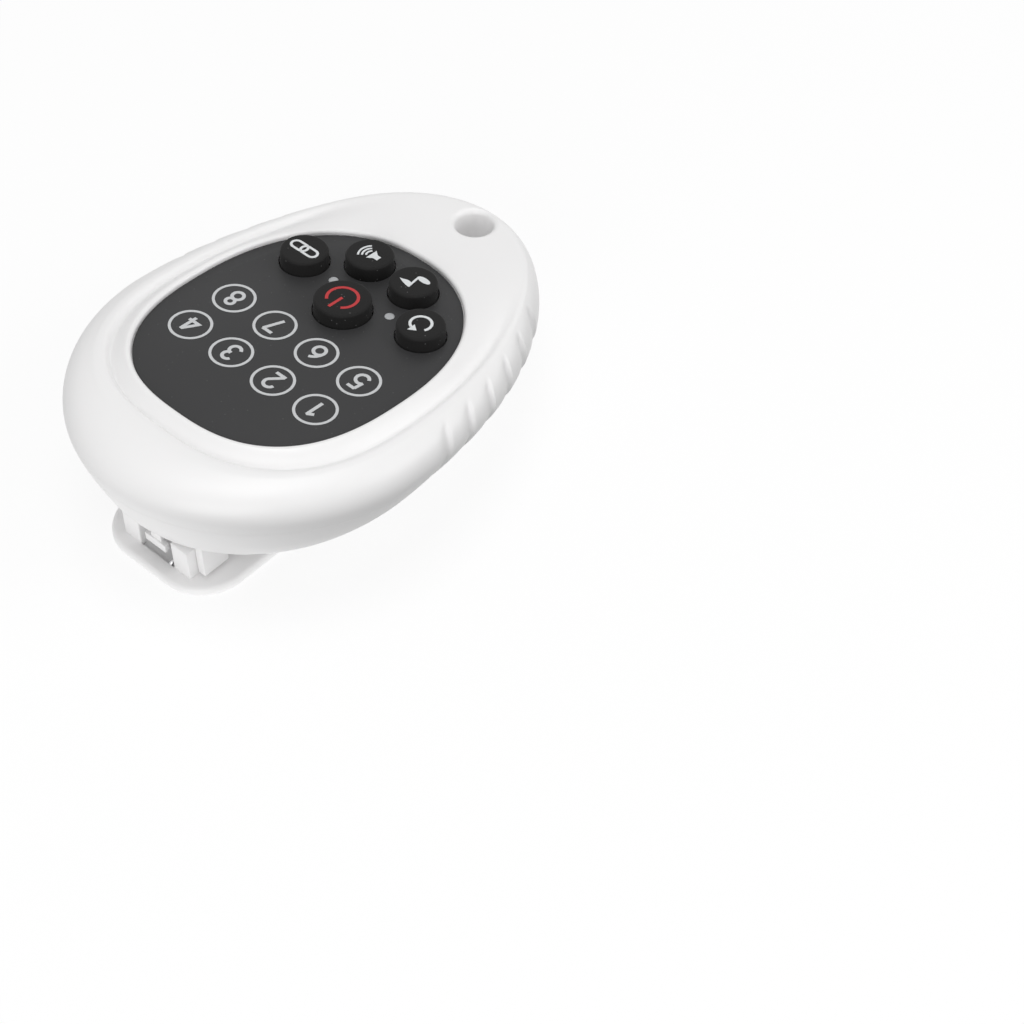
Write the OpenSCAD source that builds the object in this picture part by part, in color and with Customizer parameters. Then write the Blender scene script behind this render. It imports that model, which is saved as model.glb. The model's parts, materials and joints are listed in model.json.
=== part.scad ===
// Caregiver pager: keypad receiver in a wedge-shaped egg housing with a sprung belt clip.
// Millimetres. The clip plate lies on Z = 0, +Y points to the lanyard eye, +Z is up.

/* [Housing] */
// Width of the housing at its widest line
body_w = 67.9; // [64:0.1:76]
// From the widest line to the wide end
body_front = 35.9; // [34:0.1:42]
// From the widest line to the lanyard end
body_tip = 56.1; // [54:0.1:62]
// Widest line ahead of the first row of numbers
body_mid = 4.2; // [3:0.1:6]
// Slope of the label against the rear face, in degrees
tilt = 5.8; // [4:0.1:6.5]
// Widest level below the label
equator_drop = 6; // [5:0.1:7]
// Seam between shell and cover below the label
seam_drop = 8.7; // [8:0.1:10]
// Gap of the seam
seam_gap = 0.15; // [0.05:0.05:0.4]
// How far the sides draw in down to the rear face
under_inset = 8.4; // [6.5:0.05:9]
// Wall of shell and cover
wall = 1.8; // [1.4:0.1:2.2]
// Thickness of the cover's flat rear face
floor_t = 2; // [1.8:0.1:2.4]
// Ridge outside the label's edge, at the sides
ridge_reach = 4.6; // [4:0.1:5.4]
// Ridge inside the wide end
ridge_front_inset = 11.3; // [9:0.1:12]
// Shoulder inside the lanyard end
ridge_tip_inset = 3.2; // [2.6:0.1:3.6]
// Ridge below the label
ridge_drop = 0.5; // [0:0.1:1]
// Lip round the label above it
lip_h = 0.8; // [0.4:0.1:1.2]
// Shoulder at the lanyard end above the label
tip_h = 1.2; // [0.8:0.1:1.6]
// Depth of the cove between lip and ridge
cove_depth = 1.1; // [0.4:0.1:1.2]
// Radius of the lanyard eye
eye_r = 3.4; // [2.4:0.1:3.6]
// Rounding of the eye's rim
eye_round = 0.5; // [0.2:0.1:0.8]
// Middle of the eye inside the lanyard end
eye_inset = 6.7; // [6.4:0.1:8]
// Plastic between the eye and the hollow
eye_wall = 2.8; // [2:0.1:4]

/* [Grips] */
// Scallops on each side
grip_count = 5; // [3:1:5]
// Distance from scallop to scallop
grip_pitch = 5.8; // [5:0.1:6.2]
// Depth of a scallop
grip_depth = 1; // [0.5:0.1:1.2]
// First scallop ahead of the first row of numbers
grip_start = 17; // [14:0.1:18]

/* [Face] */
// Width of the label
label_w = 47.4; // [46:0.2:50]
// Widest line of the label ahead of the first row of numbers
label_mid = 10.5; // [9:0.1:12]
// From that line to the label's front edge
label_front = 27; // [25:0.1:28]
// From that line to the label's edge at the lanyard
label_tip = 29.8; // [29:0.1:31]
// Thickness of the label
label_t = 0.35; // [0.2:0.05:0.5]
// Play round the label in its recess
label_play = 0.15; // [0.05:0.05:0.3]
// Panel under the label
panel_t = 1.4; // [1.2:0.1:1.6]
// Number lights in a row
number_count = 4; // [2:1:4]
// Distance between numbers
number_pitch = 10; // [9.5:0.1:10.2]
// Radius of the light hole under a number
number_r = 2.9; // [2:0.1:3.2]
// Radius of a status light pipe
pipe_r = 0.95; // [0.6:0.05:1.2]
// Status light pipe beside the middle line
pipe_x = 6.75; // [6.5:0.05:7]
// Status light pipe ahead of the first row of numbers
pipe_y = 25.5; // [25:0.1:26]

/* [Keys] */
// Radius of the small keys
key_r = 4.4; // [4:0.1:4.5]
// Radius of the power key
power_r = 5.15; // [4.6:0.05:5.4]
// Keys above the label
key_h = 2.75; // [1.8:0.1:3.2]
// Rounding of a key's top edge
key_round = 0.4; // [0.3:0.1:1.2]
// Travel of a key
key_travel = 0.8; // [0.5:0.1:0.9]
// Gap round a key in its hole
key_gap = 0.35; // [0.2:0.05:0.4]
// Flange that keeps a key in, beyond its side
key_flange = 0.65; // [0.5:0.05:0.7]
// Thickness of the flange
flange_t = 0.6; // [0.4:0.05:0.7]
// Radius of a key's stem
stem_r = 2.2; // [1.6:0.1:2.6]
// Length of the stem below the flange
stem_h = 0.3; // [0.2:0.05:0.5]
// Thickness of contact pill and contact pad
pill_t = 0.2; // [0.1:0.05:0.3]
// Power key ahead of the first row of numbers
power_y = 21; // [20.5:0.1:21.5]
// Outer keys beside the middle line
outer_x = 14; // [13.5:0.1:14.5]
// Outer keys ahead of the first row of numbers
outer_y = 25.6; // [25:0.1:26]
// Inner keys beside the middle line
inner_x = 5.25; // [5.15:0.05:5.5]
// Inner keys ahead of the first row of numbers
inner_y = 32.8; // [32.4:0.1:33.4]

/* [Clip] */
// Width of the lever's plate
plate_w = 28.1; // [26:0.1:30]
// Thickness of the plate
plate_t = 1.9; // [1.5:0.1:2.4]
// Belt gap between plate and rear face
belt_gap = 7; // [6.6:0.1:9]
// Plate's front end behind the first row of numbers
plate_front = 28.2; // [27:0.1:30]
// Plate's jaw end ahead of the first row of numbers
plate_back = 26; // [25:0.1:28]
// Corner radius of the plate
plate_corner = 9; // [5:0.1:10]
// Pin behind the first row of numbers
pin_back = 20.8; // [20:0.1:21.5]
// Radius of the pin
pin_r = 1.2; // [0.9:0.05:1.3]
// Radial play of the lever on the pin
pin_play = 0.06; // [0.03:0.01:0.1]
// Radial fit of the pin in the lugs
pin_fit = 0.02; // [0.01:0.01:0.05]
// Half the window between the lever's ears
window_half = 4.1; // [3.9:0.1:4.6]
// Thickness of an ear
ear_t = 4; // [3:0.1:4.4]
// Ears' front face ahead of the pin
ear_front = 4.5; // [3.8:0.1:4.8]
// Ears' rear face behind the pin
ear_back = 3.4; // [2.6:0.1:4]
// Depth of the spring's pocket in the plate, between the ears
pocket = 0.7; // [0.4:0.1:0.9]
// Play between an ear and the bracket's lug beside it
lug_play = 0.2; // [0.1:0.05:0.4]
// Thickness of a lug
lug_t = 1.7; // [1.3:0.1:2.2]
// Lug's faces ahead of the pin and behind it
lug_reach = 2.7; // [2.2:0.1:3]
// Gap between jaw and rear face
jaw_gap = 0.3; // [0.2:0.05:0.6]
// Swing of the lever, in degrees
lever_swing = 8; // [6:1:11]
// Gap that is left over the ears and under the lugs when the lever is pressed
swing_play = 0.2; // [0.15:0.05:0.4]
// Radius of the spring's coil, to the wire's middle
coil_r = 1.95; // [1.9:0.05:2.1]
// Thickness of the spring wire
wire_d = 0.8; // [0.6:0.05:0.9]
// Turns of the coil, less the half turn between its legs
coil_turns = 4; // [2:1:4]
// Distance from turn to turn
coil_pitch = 1.35; // [1.32:0.01:1.5]

/* [Battery] */
// Radius of a cell
cell_r = 5.25; // [5:0.05:5.3]
// Length of a cell without its nub
cell_l = 43.6; // [42:0.1:44]
// Gap between the cells
cell_gap = 0.6; // [0.4:0.1:1]
// Middle of the battery bay ahead of the first row of numbers
bay_y = 0; // [-1:0.1:1]
// Play round the cells in the bay
cell_play = 0.25; // [0.1:0.05:0.4]
// Wall of the bay at the ends of the cells
bay_wall = 1.2; // [1:0.1:1.4]
// Wall of the bay along the cells, over the door's tongues
rail_t = 2.6; // [2:0.1:3]
// Height of the bay's walls over the rear face
bay_h = 8; // [6:0.1:9]
// Tongue of the door along its edges
door_tongue = 1; // [0.6:0.1:1.2]
// Thickness of the door's outer leaf
door_leaf = 1; // [0.8:0.1:1.2]
// Play of the door in its slot
door_play = 0.15; // [0.1:0.05:0.25]
// Thickness of the contact strip
contact_t = 0.4; // [0.3:0.05:0.5]

/* [Inside] */
// Thickness of the circuit board
board_t = 1; // [0.8:0.1:1.2]
// Room between the board and the nearest cell
board_clear = 0.28; // [0.2:0.02:0.6]
// Thickness of the keypad mat
mat_t = 0.5; // [0.3:0.1:0.5]
// Radius of the loudspeaker
speaker_r = 9.5; // [8:0.1:9.8]
// Height of the loudspeaker
speaker_h = 4.6; // [3.6:0.1:5]
// Loudspeaker ahead of the first row of numbers
speaker_y = 28.5; // [28:0.1:29]
// Wall of the loudspeaker's seat
seat_wall = 1.2; // [0.8:0.1:1.4]
// Grille slots over the loudspeaker
slot_count = 4; // [2:1:4]
// Width of a grille slot
slot_w = 1.4; // [1:0.1:1.6]
// Distance from slot to slot
slot_pitch = 2.8; // [2.6:0.1:3]
// Radius of a case screw's shank
screw_r = 1.3; // [1:0.05:1.4]
// Radius of a case screw's head
head_r = 2.4; // [2:0.1:2.5]
// Height of a case screw's head
head_h = 1.7; // [1.2:0.1:2]
// Length of a case screw inside the shell
screw_bite = 4.2; // [3:0.1:4.4]
// Radius of a screw post
post_r = 3; // [2.8:0.1:3.2]
// Front screws beside the middle line
front_screw_x = 17; // [16.5:0.1:17.5]
// Front screws behind the first row of numbers
front_screw_back = 16.8; // [16.5:0.1:17.5]
// Rear screws beside the middle line
rear_screw_x = 11.5; // [11:0.1:12]
// Rear screws ahead of the first row of numbers
rear_screw_y = 39; // [38.5:0.1:39.5]

/* [Hidden] */
$fn = 48;

// Points round a skin, and steps along its sections
around = 80;
band_steps = 8;
dome_steps = 7;
vault_steps = 3;
bowl_steps = 7;
hollow_steps = 4;
// Margin for cuts that run past a face
over = 1;
// Play of pieces that are put together and stay there
fit = 0.05;

// Squareness of the outlines, at the front and at the lanyard end
body_square = [1.92, 1.96];
label_square = [2.56, 2.25];
ridge_square = [2.45, 2.05];
board_square = [2.3, 2.2];
// Squareness of the sections above and below the widest line
dome_power = 2;
under_power = 1.27;

// Levels along the label's normal, from the label's face
flange_play = 0.2;
stop_gap = 0.1;
floor_l = -label_t;
ceiling_l = floor_l - panel_t;
flange_top = ceiling_l - flange_play;
flange_low = flange_top - flange_t;
stem_low = flange_low - stem_h;
pill_low = stem_low - pill_t;
pad_top = pill_low - key_travel - stop_gap;
board_top = pad_top - pill_t;
board_low = board_top - board_t;
mat_top = board_top + mat_t;

// Battery bay
cell_pitch = 2 * cell_r + cell_gap;
bay_half = cell_pitch / 2 + cell_r + cell_play;
door_rim = 0.3;
door_half = bay_half + door_rim;
tongue_half = door_half + door_tongue;
nub_l = 0.9;
nub_r = 1.9;
bay_end = (cell_l + nub_l) / 2 + cell_play + contact_t;

// Height of the label over the rear face: cells, board and keys stacked under the slope
body_h = floor_t + cell_play + cell_r + (cell_r + board_clear - board_low) / cos(tilt)
    + (bay_y + cell_pitch / 2) * tan(tilt);

// Heights over the ground
rear_z = plate_t + belt_gap;
label_z = rear_z + body_h;
cell_z = rear_z + floor_t + cell_play + cell_r;
speaker_z = rear_z + floor_t;

// Outlines: half width, middle, front reach, tip reach and the squareness of both halves
tip_y = body_mid + body_tip;
eye_y = tip_y - eye_inset;
hollow_tip = eye_y - eye_r - eye_wall;
rim_w = 0.45;
lip_round = 0.25;
ridge_mid = 8;
vault_inset = 0.6;
// The cove fades out between two sines of the angle, and its deepest line lies nearer the ridge
cove_fade = [0.35, 0.95];
cove_lean = 2.1;
board_rim = 1.1;
board_front_inset = 3;
board_tip_inset = 4.3;
mat_inset = 2.5;
body_egg = [body_w / 2, body_mid, body_front, body_tip, body_square[0], body_square[1]];
label_egg = [label_w / 2, label_mid, label_front, label_tip, label_square[0], label_square[1]];
ridge_egg = [
    label_w / 2 + ridge_reach, ridge_mid, ridge_mid - body_mid + body_front - ridge_front_inset,
    tip_y - ridge_mid - ridge_tip_inset, ridge_square[0], ridge_square[1]
];
hollow_egg = [
    body_w / 2 - wall, body_mid, body_front - wall, hollow_tip - body_mid, body_square[0], body_square[1]
];
recess_egg = grown(label_egg, label_play);
rim_egg = grown(recess_egg, rim_w);
ceiling_egg = grown(label_egg, -vault_inset);
board_egg = [
    label_w / 2 + board_rim, label_mid, label_front - board_front_inset,
    hollow_tip - board_tip_inset - label_mid, board_square[0], board_square[1]
];
mat_egg = grown(label_egg, -mat_inset);

// Top of the eye, on the slope from the lip to the shoulder
label_edge = label_mid + label_tip;
eye_top = lip_h + (tip_h - lip_h) * (eye_y - label_edge) / (tip_y - ridge_tip_inset - label_edge);

// Middle of the housing's length, moved to Y = 0
housing_front = (body_mid - body_front) * cos(tilt) - equator_drop * sin(tilt);
housing_tip = tip_y * cos(tilt) - equator_drop * sin(tilt);
shift_y = -(housing_front + housing_tip) / 2;

// Keys: middle and radius
keys = [
    [0, power_y, power_r],
    [-outer_x, outer_y, key_r],
    [-inner_x, inner_y, key_r],
    [inner_x, inner_y, key_r],
    [outer_x, outer_y, key_r]
];

// Clip: pin, the bracket's lugs, the lever's ears, the spring's ledge and the jaw
pin_y = -pin_back;
pin_z = rear_z - belt_gap / 2;
pin_drop = rear_z - pin_z;
lug_in = window_half + ear_t + lug_play;
lug_out = lug_in + lug_t;
lug_clear = lug_reach * sin(lever_swing) + (pin_z - plate_t) * (1 - cos(lever_swing)) + swing_play;
lug_root = 3.4;
root_front = 1.2;
ear_top = (pin_drop - swing_play - ear_front * sin(lever_swing)) / cos(lever_swing);
ear_slope = 1.4;
ledge_half = 2.5;
ledge_t = 1.1;
ledge_h = 1.6;
ledge_drop = 0.3;
jaw_inset = 1.2;
jaw_fall = 2.6;
jaw_flat = 1.6;
jaw_ramp = 5.1;
jaw_side = 2;
jaw_nose = 0.6;

// Screws: X, Y, length below the seam
front_shank = 7;
rear_shank = 4.4;
screws = [
    [front_screw_x, -front_screw_back, front_shank],
    [-front_screw_x, -front_screw_back, front_shank],
    [rear_screw_x, rear_screw_y, rear_shank],
    [-rear_screw_x, rear_screw_y, rear_shank]
];
post_gap = 0.4;
post_depth = 1.75;
head_play = 0.2;
shank_play = 0.15;
thread_play = 0.03;

// Posts that carry the circuit board: X, Y
board_post_r = 1.9;
board_screw_r = 0.8;
board_screw_bite = 2;
board_post_inset = 2.2;
board_post_y = 0;
board_post_x = half_at(board_egg, board_post_y) - board_post_inset;
tail_post_inset = 2.6;
tail_post_y = hollow_tip - board_tip_inset - tail_post_inset;
posts = [[board_post_x, board_post_y], [-board_post_x, board_post_y], [0, tail_post_y]];

// Lamps on the board: half length, half width and height
lamp = [0.8, 0.5, 0.6];
lamp_gap = 0.3;

// Radio module and chip under the board
chip_gap = 6;
radio_l = 12;
radio_w = 10;
radio_t = 1.5;
chip_l = 8;
chip_t = 1;

// Loudspeaker: seat, magnet, rim and cone
seat_h = 2;
magnet_h = 1.4;
basket_h = speaker_h - magnet_h;
edge_w = 1;
edge_h = 0.8;
dish_h = basket_h - 2 * edge_h;
cone_t = 0.4;
dish_r = 6.2;
cap_r = 3;

// Spring: turns, legs and the room between a leg and what it presses on
coil_half = (coil_turns + 0.5) * coil_pitch / 2;
coil_steps = 8;
upper_leg = 3;
lower_leg = 4.5;
leg_lift = 0.1;
leg_play = 0.15;
lower_drop = pin_z - plate_t + pocket - coil_r - wire_d / 2 - leg_play;

// A closed outline of two half superellipses
function egg(t, e) =
    let (c = cos(t), s = sin(t), n = s < 0 ? e[4] : e[5], b = s < 0 ? e[2] : e[3])
    [e[0] * sign(c) * pow(abs(c), 2 / n), e[1] + b * sign(s) * pow(abs(s), 2 / n)];

// Half width of an outline at a place along it
function half_at(e, y) =
    let (b = y < e[1] ? e[2] : e[3], n = y < e[1] ? e[4] : e[5])
    e[0] * pow(1 - pow(abs(y - e[1]) / b, n), 1 / n);

// The outline moved outwards
function grown(e, d) = [e[0] + d, e[1], e[2] + d, e[3] + d, e[4], e[5]];

// All angles of an outline
function angles() = [for (i = [0:around - 1]) 360 * i / around];

// All points of an outline
function outline(e) = [for (t = angles()) egg(t, e)];

// A level ring of the skin
function level(e, z) = [for (p = outline(e)) [p[0], p[1], z]];

// Smooth step from 0 to 1
function step(x, a, b) = let (u = min(1, max(0, (x - a) / (b - a)))) u * u * (3 - 2 * u);

// How strongly the cove shows at an angle: it fades out towards the eye
function cove_at(t) = 1 - step(sin(t), cove_fade[0], cove_fade[1]);

// Height of the ridge at an angle
function ridge_z(t) = tip_h - (tip_h + ridge_drop) * cove_at(t);

// Depth of the rear face below the label's plane
function rear_l(y) = -body_h / cos(tilt) + y * tan(tilt);

// Height of the seam over the ground
function seam_at(y) = label_z - y * tan(tilt) - seam_drop / cos(tilt);

// Share of the underside's section where the seam cuts it
function seam_share(y) = (seam_drop - equator_drop) / (-equator_drop - rear_l(y));

// Draw-in of the underside at a share of its depth
function draw_in(q) = under_inset * (1 - pow(max(0, 1 - pow(q, under_power)), 1 / under_power));

// Ring between lip and ridge, with the cove sunk between them
function band_ring(u) = [
    for (t = angles())
        let (
            l = egg(t, rim_egg),
            p = l + (egg(t, ridge_egg) - l) * u,
            sink = cove_depth * cove_at(t) * sin(180 * pow(u, cove_lean))
        )
        [p[0], p[1], lip_h + (ridge_z(t) - lip_h) * u - sink]
];

// Ring of the dome between ridge and widest line
function dome_ring(s) = [
    for (t = angles())
        let (
            k = egg(t, ridge_egg),
            p = k + (egg(t, body_egg) - k) * pow(sin(s), 2 / dome_power)
        )
        [p[0], p[1], -equator_drop + (ridge_z(t) + equator_drop) * pow(cos(s), 2 / dome_power)]
];

// Ring of the hollow's dome
function vault_ring(s) = [
    for (t = angles())
        let (
            k = egg(t, ceiling_egg),
            p = k + (egg(t, hollow_egg) - k) * sin(s)
        )
        [p[0], p[1], -equator_drop + (ceiling_l + equator_drop) * cos(s)]
];

// Ring between the widest line and the seam
function skirt_ring(e, v) = [
    for (t = angles())
        let (p = egg(t, grown(e, -draw_in(v * seam_share(egg(t, body_egg)[1])))))
        [p[0], p[1], -equator_drop - v * (seam_drop - equator_drop)]
];

// Ring between the seam and the rear face, raised by a floor
function bowl_ring(e, v, raise) = [
    for (t = angles())
        let (
            s = seam_share(egg(t, body_egg)[1]),
            p = egg(t, grown(e, -draw_in(s + v * (1 - s)))),
            top = -seam_drop - seam_gap
        )
        [p[0], p[1], top + (rear_l(p[1]) + raise - top) * v]
];

// Rings of the cover's outside, closer together towards the rear face
function bowl() = [for (i = [0:bowl_steps]) bowl_ring(body_egg, sin(90 * i / bowl_steps), 0)];

// Rings of the cover's inside, from the floor up
function bowl_hollow() = [
    for (i = [hollow_steps:-1:0]) bowl_ring(hollow_egg, sin(90 * i / hollow_steps), floor_t)
];

// Middles of the numbers
function numbers() = [
    for (j = [0, 1])
        for (i = [0:number_count - 1])
            [(i - (number_count - 1) / 2) * number_pitch, j * number_pitch]
];

// A skin over rings that run from the upper cap to the lower one
module skin(rings) {
    n = len(rings[0]);
    last = len(rings) - 1;
    points = [for (ring = rings) each ring];
    sides = [
        for (k = [0:last - 1])
            for (i = [0:n - 1])
                let (a = k * n + i, b = k * n + (i + 1) % n)
                each [[a, b, b + n], [a, b + n, a + n]]
    ];
    upper = [for (i = [n - 1:-1:0]) i];
    lower = [for (i = [0:n - 1]) last * n + i];
    polyhedron(points, concat([upper], sides, [lower]));
}

// Children given from the label's middle, square to the label
module on_label() {
    translate([0, shift_y, label_z])
        rotate([-tilt, 0, 0])
            children();
}

// Children given over the rear face
module on_rear() {
    translate([0, shift_y, 0])
        children();
}

// A box from its lower corner to its upper corner
module block(a, b) {
    translate(a)
        cube(b - a);
}

// A round hole or pillar between two levels
module pillar(x, y, r, low, high) {
    translate([x, y, low])
        cylinder(r = r, h = high - low);
}

// A flat piece in the shape of an outline, between two levels
module slice(e, low, high) {
    translate([0, 0, low])
        linear_extrude(high - low)
            polygon(outline(e));
}

// A rod across the part
module rod(r, half, y, z) {
    translate([-half, y, z])
        rotate([0, 90, 0])
            cylinder(r = r, h = 2 * half);
}

// A straight slot with round ends
module slot(l, w) {
    square([l - w, w], center = true);
    for (s = [-1, 1])
        translate([s * (l - w) / 2, 0])
            circle(w / 2);
}

// Scallops down both sides, square to the outline
module grips() {
    r = (pow(grip_pitch / 2, 2) + pow(grip_depth, 2)) / (2 * grip_depth);
    low = rear_l(0);
    for (i = [0:grip_count - 1])
        let (
            y = grip_start + i * grip_pitch,
            k = (y - body_mid) / body_tip,
            x = body_w / 2 * sqrt(1 - k * k),
            nx = x / pow(body_w / 2, 2),
            ny = (y - body_mid) / pow(body_tip, 2),
            reach = (r - grip_depth) / sqrt(nx * nx + ny * ny)
        )
            for (s = [-1, 1])
                pillar(s * (x + nx * reach), y + ny * reach, r, low, 0);
}

// The lanyard eye with its rounded rim
module eye() {
    pillar(0, eye_y, eye_r, rear_l(0) - over, tip_h + over);
    translate([0, eye_y, eye_top - eye_round])
        rotate_extrude()
            difference() {
                square([eye_r + eye_round, eye_round + over]);
                translate([eye_r + eye_round, 0])
                    circle(eye_round);
            }
}

// Key holes and light pipe holes between two levels
module face_holes(low, high) {
    for (k = keys)
        pillar(k[0], k[1], k[2] + key_gap, low, high);
    for (s = [-1, 1])
        pillar(s * pipe_x, pipe_y, pipe_r + fit, low, high);
}

module front_shell() {
    color("white")
        difference() {
            union() {
                on_label() {
                    skin([
                        level(recess_egg, floor_l),
                        level(recess_egg, lip_h - lip_round),
                        for (i = [0:band_steps - 1]) band_ring(i / band_steps),
                        for (i = [0:dome_steps]) dome_ring(90 * i / dome_steps),
                        for (v = [0.5, 1]) skirt_ring(body_egg, v),
                        skirt_ring(hollow_egg, 1),
                        for (i = [vault_steps:-1:0]) vault_ring(90 * i / vault_steps)
                    ]);
                    for (p = posts)
                        pillar(p[0], p[1], board_post_r, board_top, ceiling_l + panel_t / 2);
                }
                on_rear()
                    for (p = screws)
                        let (top = label_z - p[1] * tan(tilt) - post_depth)
                            pillar(p[0], p[1], post_r, seam_at(p[1]) + post_gap, top);
            }
            on_label() {
                face_holes(ceiling_l - over, floor_l + over);
                for (p = numbers())
                    pillar(p[0], p[1], number_r, ceiling_l - over, floor_l + over);
                for (p = posts)
                    pillar(p[0], p[1], board_screw_r, board_top - over, board_top + board_screw_bite + fit);
                grips();
                eye();
            }
            on_rear()
                for (p = screws)
                    let (low = seam_at(p[1]))
                        pillar(p[0], p[1], screw_r + thread_play, low - over, low + screw_bite + post_gap);
        }
}

// The cover's outer form without its hollow
module cover_solid() {
    on_label()
        skin(bowl());
}

// The form of the door, or with some play the room that it slides in
module door_form(play) {
    far = body_w;
    top = rear_z + floor_t + play;
    leaf = door_half + play;
    tongue = tongue_half + play;
    block([-far, bay_y - leaf, rear_z - over], [far, bay_y + leaf, top]);
    block([-far, bay_y - tongue, rear_z + door_leaf - play], [far, bay_y + tongue, top]);
}

// Walls round the cells, rising from the floor
module bay_walls() {
    low = rear_z + floor_t / 2;
    out = bay_end + bay_wall;
    wide = bay_half + rail_t;
    block([-out, bay_y - wide, low], [out, bay_y + wide, rear_z + bay_h]);
}

// Slots in the floor under the loudspeaker, as long as its cone is wide there
module grille() {
    open_r = speaker_r - seat_wall;
    for (i = [0:slot_count - 1])
        let (y = (i - (slot_count - 1) / 2) * slot_pitch)
            translate([0, speaker_y + y, rear_z - over])
                linear_extrude(floor_t + 2 * over)
                    slot(2 * sqrt(open_r * open_r - y * y), slot_w);
}

// The form of the clip's bracket, or with some play the room that it takes in the cover
module bracket_form(play) {
    front = pin_y - ear_front;
    low = rear_z + floor_t;
    top = rear_z + lug_root + play;
    ledge_z = pin_z - ledge_drop;
    stalk = ledge_half / 2 + play;
    for (s = [-1, 1])
        let (x = s * (lug_in + lug_t / 2), half = lug_t / 2 + play, reach = lug_reach + play)
            block([x - half, pin_y - reach, plate_t + lug_clear], [x + half, pin_y + reach, top]);
    block(
        [-ledge_half, front, ledge_z - ledge_h / 2],
        [ledge_half, front + ledge_t, ledge_z + ledge_h / 2]
    );
    block([-stalk, front + ledge_drop - play, ledge_z], [stalk, front + ledge_t + play, top]);
    block([-stalk, front + ledge_drop - play, low - play], [stalk, pin_y, top]);
    block(
        [-lug_out - play, pin_y - root_front - play, low - play],
        [lug_out + play, pin_y + lug_reach + play, top]
    );
}

module rear_cover() {
    seat_top = speaker_z + seat_h;
    color("whitesmoke")
        difference() {
            union() {
                on_label()
                    skin(concat(bowl_hollow(), bowl()));
                intersection() {
                    cover_solid();
                    on_rear() {
                        bay_walls();
                        for (p = screws)
                            pillar(p[0], p[1], post_r, rear_z, seam_at(p[1]) - post_gap);
                        pillar(0, speaker_y, speaker_r + seat_wall, rear_z, seat_top);
                    }
                }
            }
            on_rear() {
                bracket_form(fit);
                door_form(door_play);
                block([-bay_end, bay_y - bay_half, rear_z], [bay_end, bay_y + bay_half, label_z]);
                for (p = screws)
                    let (seat = seam_at(p[1]) - p[2]) {
                        pillar(p[0], p[1], head_r + head_play, rear_z - over, seat);
                        pillar(p[0], p[1], screw_r + shank_play, seat - over, seam_at(p[1]) + over);
                    }
                pillar(0, speaker_y, speaker_r + fit, speaker_z, seat_top + over);
                grille();
            }
            on_label() {
                grips();
                eye();
            }
        }
}

module battery_door() {
    ribs = 4;
    rib_pitch = 1.8;
    rib_w = 0.8;
    rib_half = 6;
    rib_depth = 0.4;
    rib_x = body_w / 2 - under_inset - ribs * rib_pitch - over;
    color("gainsboro")
        difference() {
            intersection() {
                cover_solid();
                on_rear()
                    door_form(0);
            }
            on_rear()
                for (i = [0:ribs - 1])
                    let (x = rib_x + i * rib_pitch)
                        block(
                            [x, bay_y - rib_half, rear_z - over],
                            [x + rib_w, bay_y + rib_half, rear_z + rib_depth]
                        );
        }
}

module face_label() {
    color("dimgray")
        on_label()
            difference() {
                slice(label_egg, floor_l, 0);
                face_holes(floor_l - over, over);
            }
}

// A rubber key: cap with a rounded edge, flange and stem
module key(k) {
    r = k[2];
    color("black")
        on_label()
            translate([k[0], k[1], 0])
                rotate_extrude() {
                    translate([0, flange_low])
                        square([r, key_h - key_round - flange_low]);
                    translate([0, flange_low])
                        square([r - key_round, key_h - flange_low]);
                    translate([r - key_round, key_h - key_round])
                        intersection() {
                            circle(key_round);
                            square(key_round + over);
                        }
                    translate([0, flange_low])
                        square([r + key_flange, flange_t]);
                    translate([0, stem_low])
                        square([stem_r, stem_h + flange_t / 2]);
                }
}

// A contact pill under a key
module pill(k) {
    color("darkslategray")
        on_label()
            pillar(k[0], k[1], stem_r, pill_low, stem_low);
}

module key_power() {
    key(keys[0]);
}

module key_pair() {
    key(keys[1]);
}

module key_volume() {
    key(keys[2]);
}

module key_melody() {
    key(keys[3]);
}

module key_reset() {
    key(keys[4]);
}

module pill_power() {
    pill(keys[0]);
}

module pill_pair() {
    pill(keys[1]);
}

module pill_volume() {
    pill(keys[2]);
}

module pill_melody() {
    pill(keys[3]);
}

module pill_reset() {
    pill(keys[4]);
}

// Front edge of the mat, between the numbers and the power key
function mat_front() = (number_pitch + number_r + power_y - power_r - key_flange) / 2;

module key_mat() {
    hole_play = 0.5;
    color("slategray")
        on_label()
            difference() {
                intersection() {
                    slice(mat_egg, board_top, mat_top);
                    block([-label_w, mat_front(), board_top - over], [label_w, tip_y, mat_top + over]);
                }
                for (k = keys)
                    pillar(k[0], k[1], stem_r + hole_play, board_top - over, mat_top + over);
                for (s = [-1, 1])
                    pillar(s * pipe_x, pipe_y, pipe_r + hole_play, board_top - over, mat_top + over);
            }
}

module light_guide() {
    rim = 0.5;
    half = (number_count - 1) / 2 * number_pitch + number_r + rim;
    color("ivory")
        on_label()
            difference() {
                block(
                    [-half, -number_r - rim, board_top + fit],
                    [half, number_pitch + number_r + rim, ceiling_l - fit]
                );
                for (p = numbers())
                    pillar(p[0], p[1], number_r, board_top - over, ceiling_l + over);
            }
}

module status_pipes() {
    color("silver")
        on_label()
            for (s = [-1, 1])
                pillar(s * pipe_x, pipe_y, pipe_r, board_top + lamp[2] + lamp_gap, 0);
}

module circuit_board() {
    color("darkgreen")
        difference() {
            on_label()
                difference() {
                    slice(board_egg, board_low, board_top);
                    for (p = posts)
                        pillar(p[0], p[1], board_screw_r + shank_play, board_low - over, board_top + over);
                }
            on_rear()
                for (p = screws)
                    pillar(p[0], p[1], post_r + post_gap, rear_z, label_z - p[1] * tan(tilt));
        }
}

module contact_pads() {
    color("gold")
        on_label()
            for (k = keys)
                pillar(k[0], k[1], stem_r, board_top, pad_top);
}

// A lamp on the board
module lamp_at(x, y) {
    block([x - lamp[0], y - lamp[1], board_top], [x + lamp[0], y + lamp[1], board_top + lamp[2]]);
}

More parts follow.
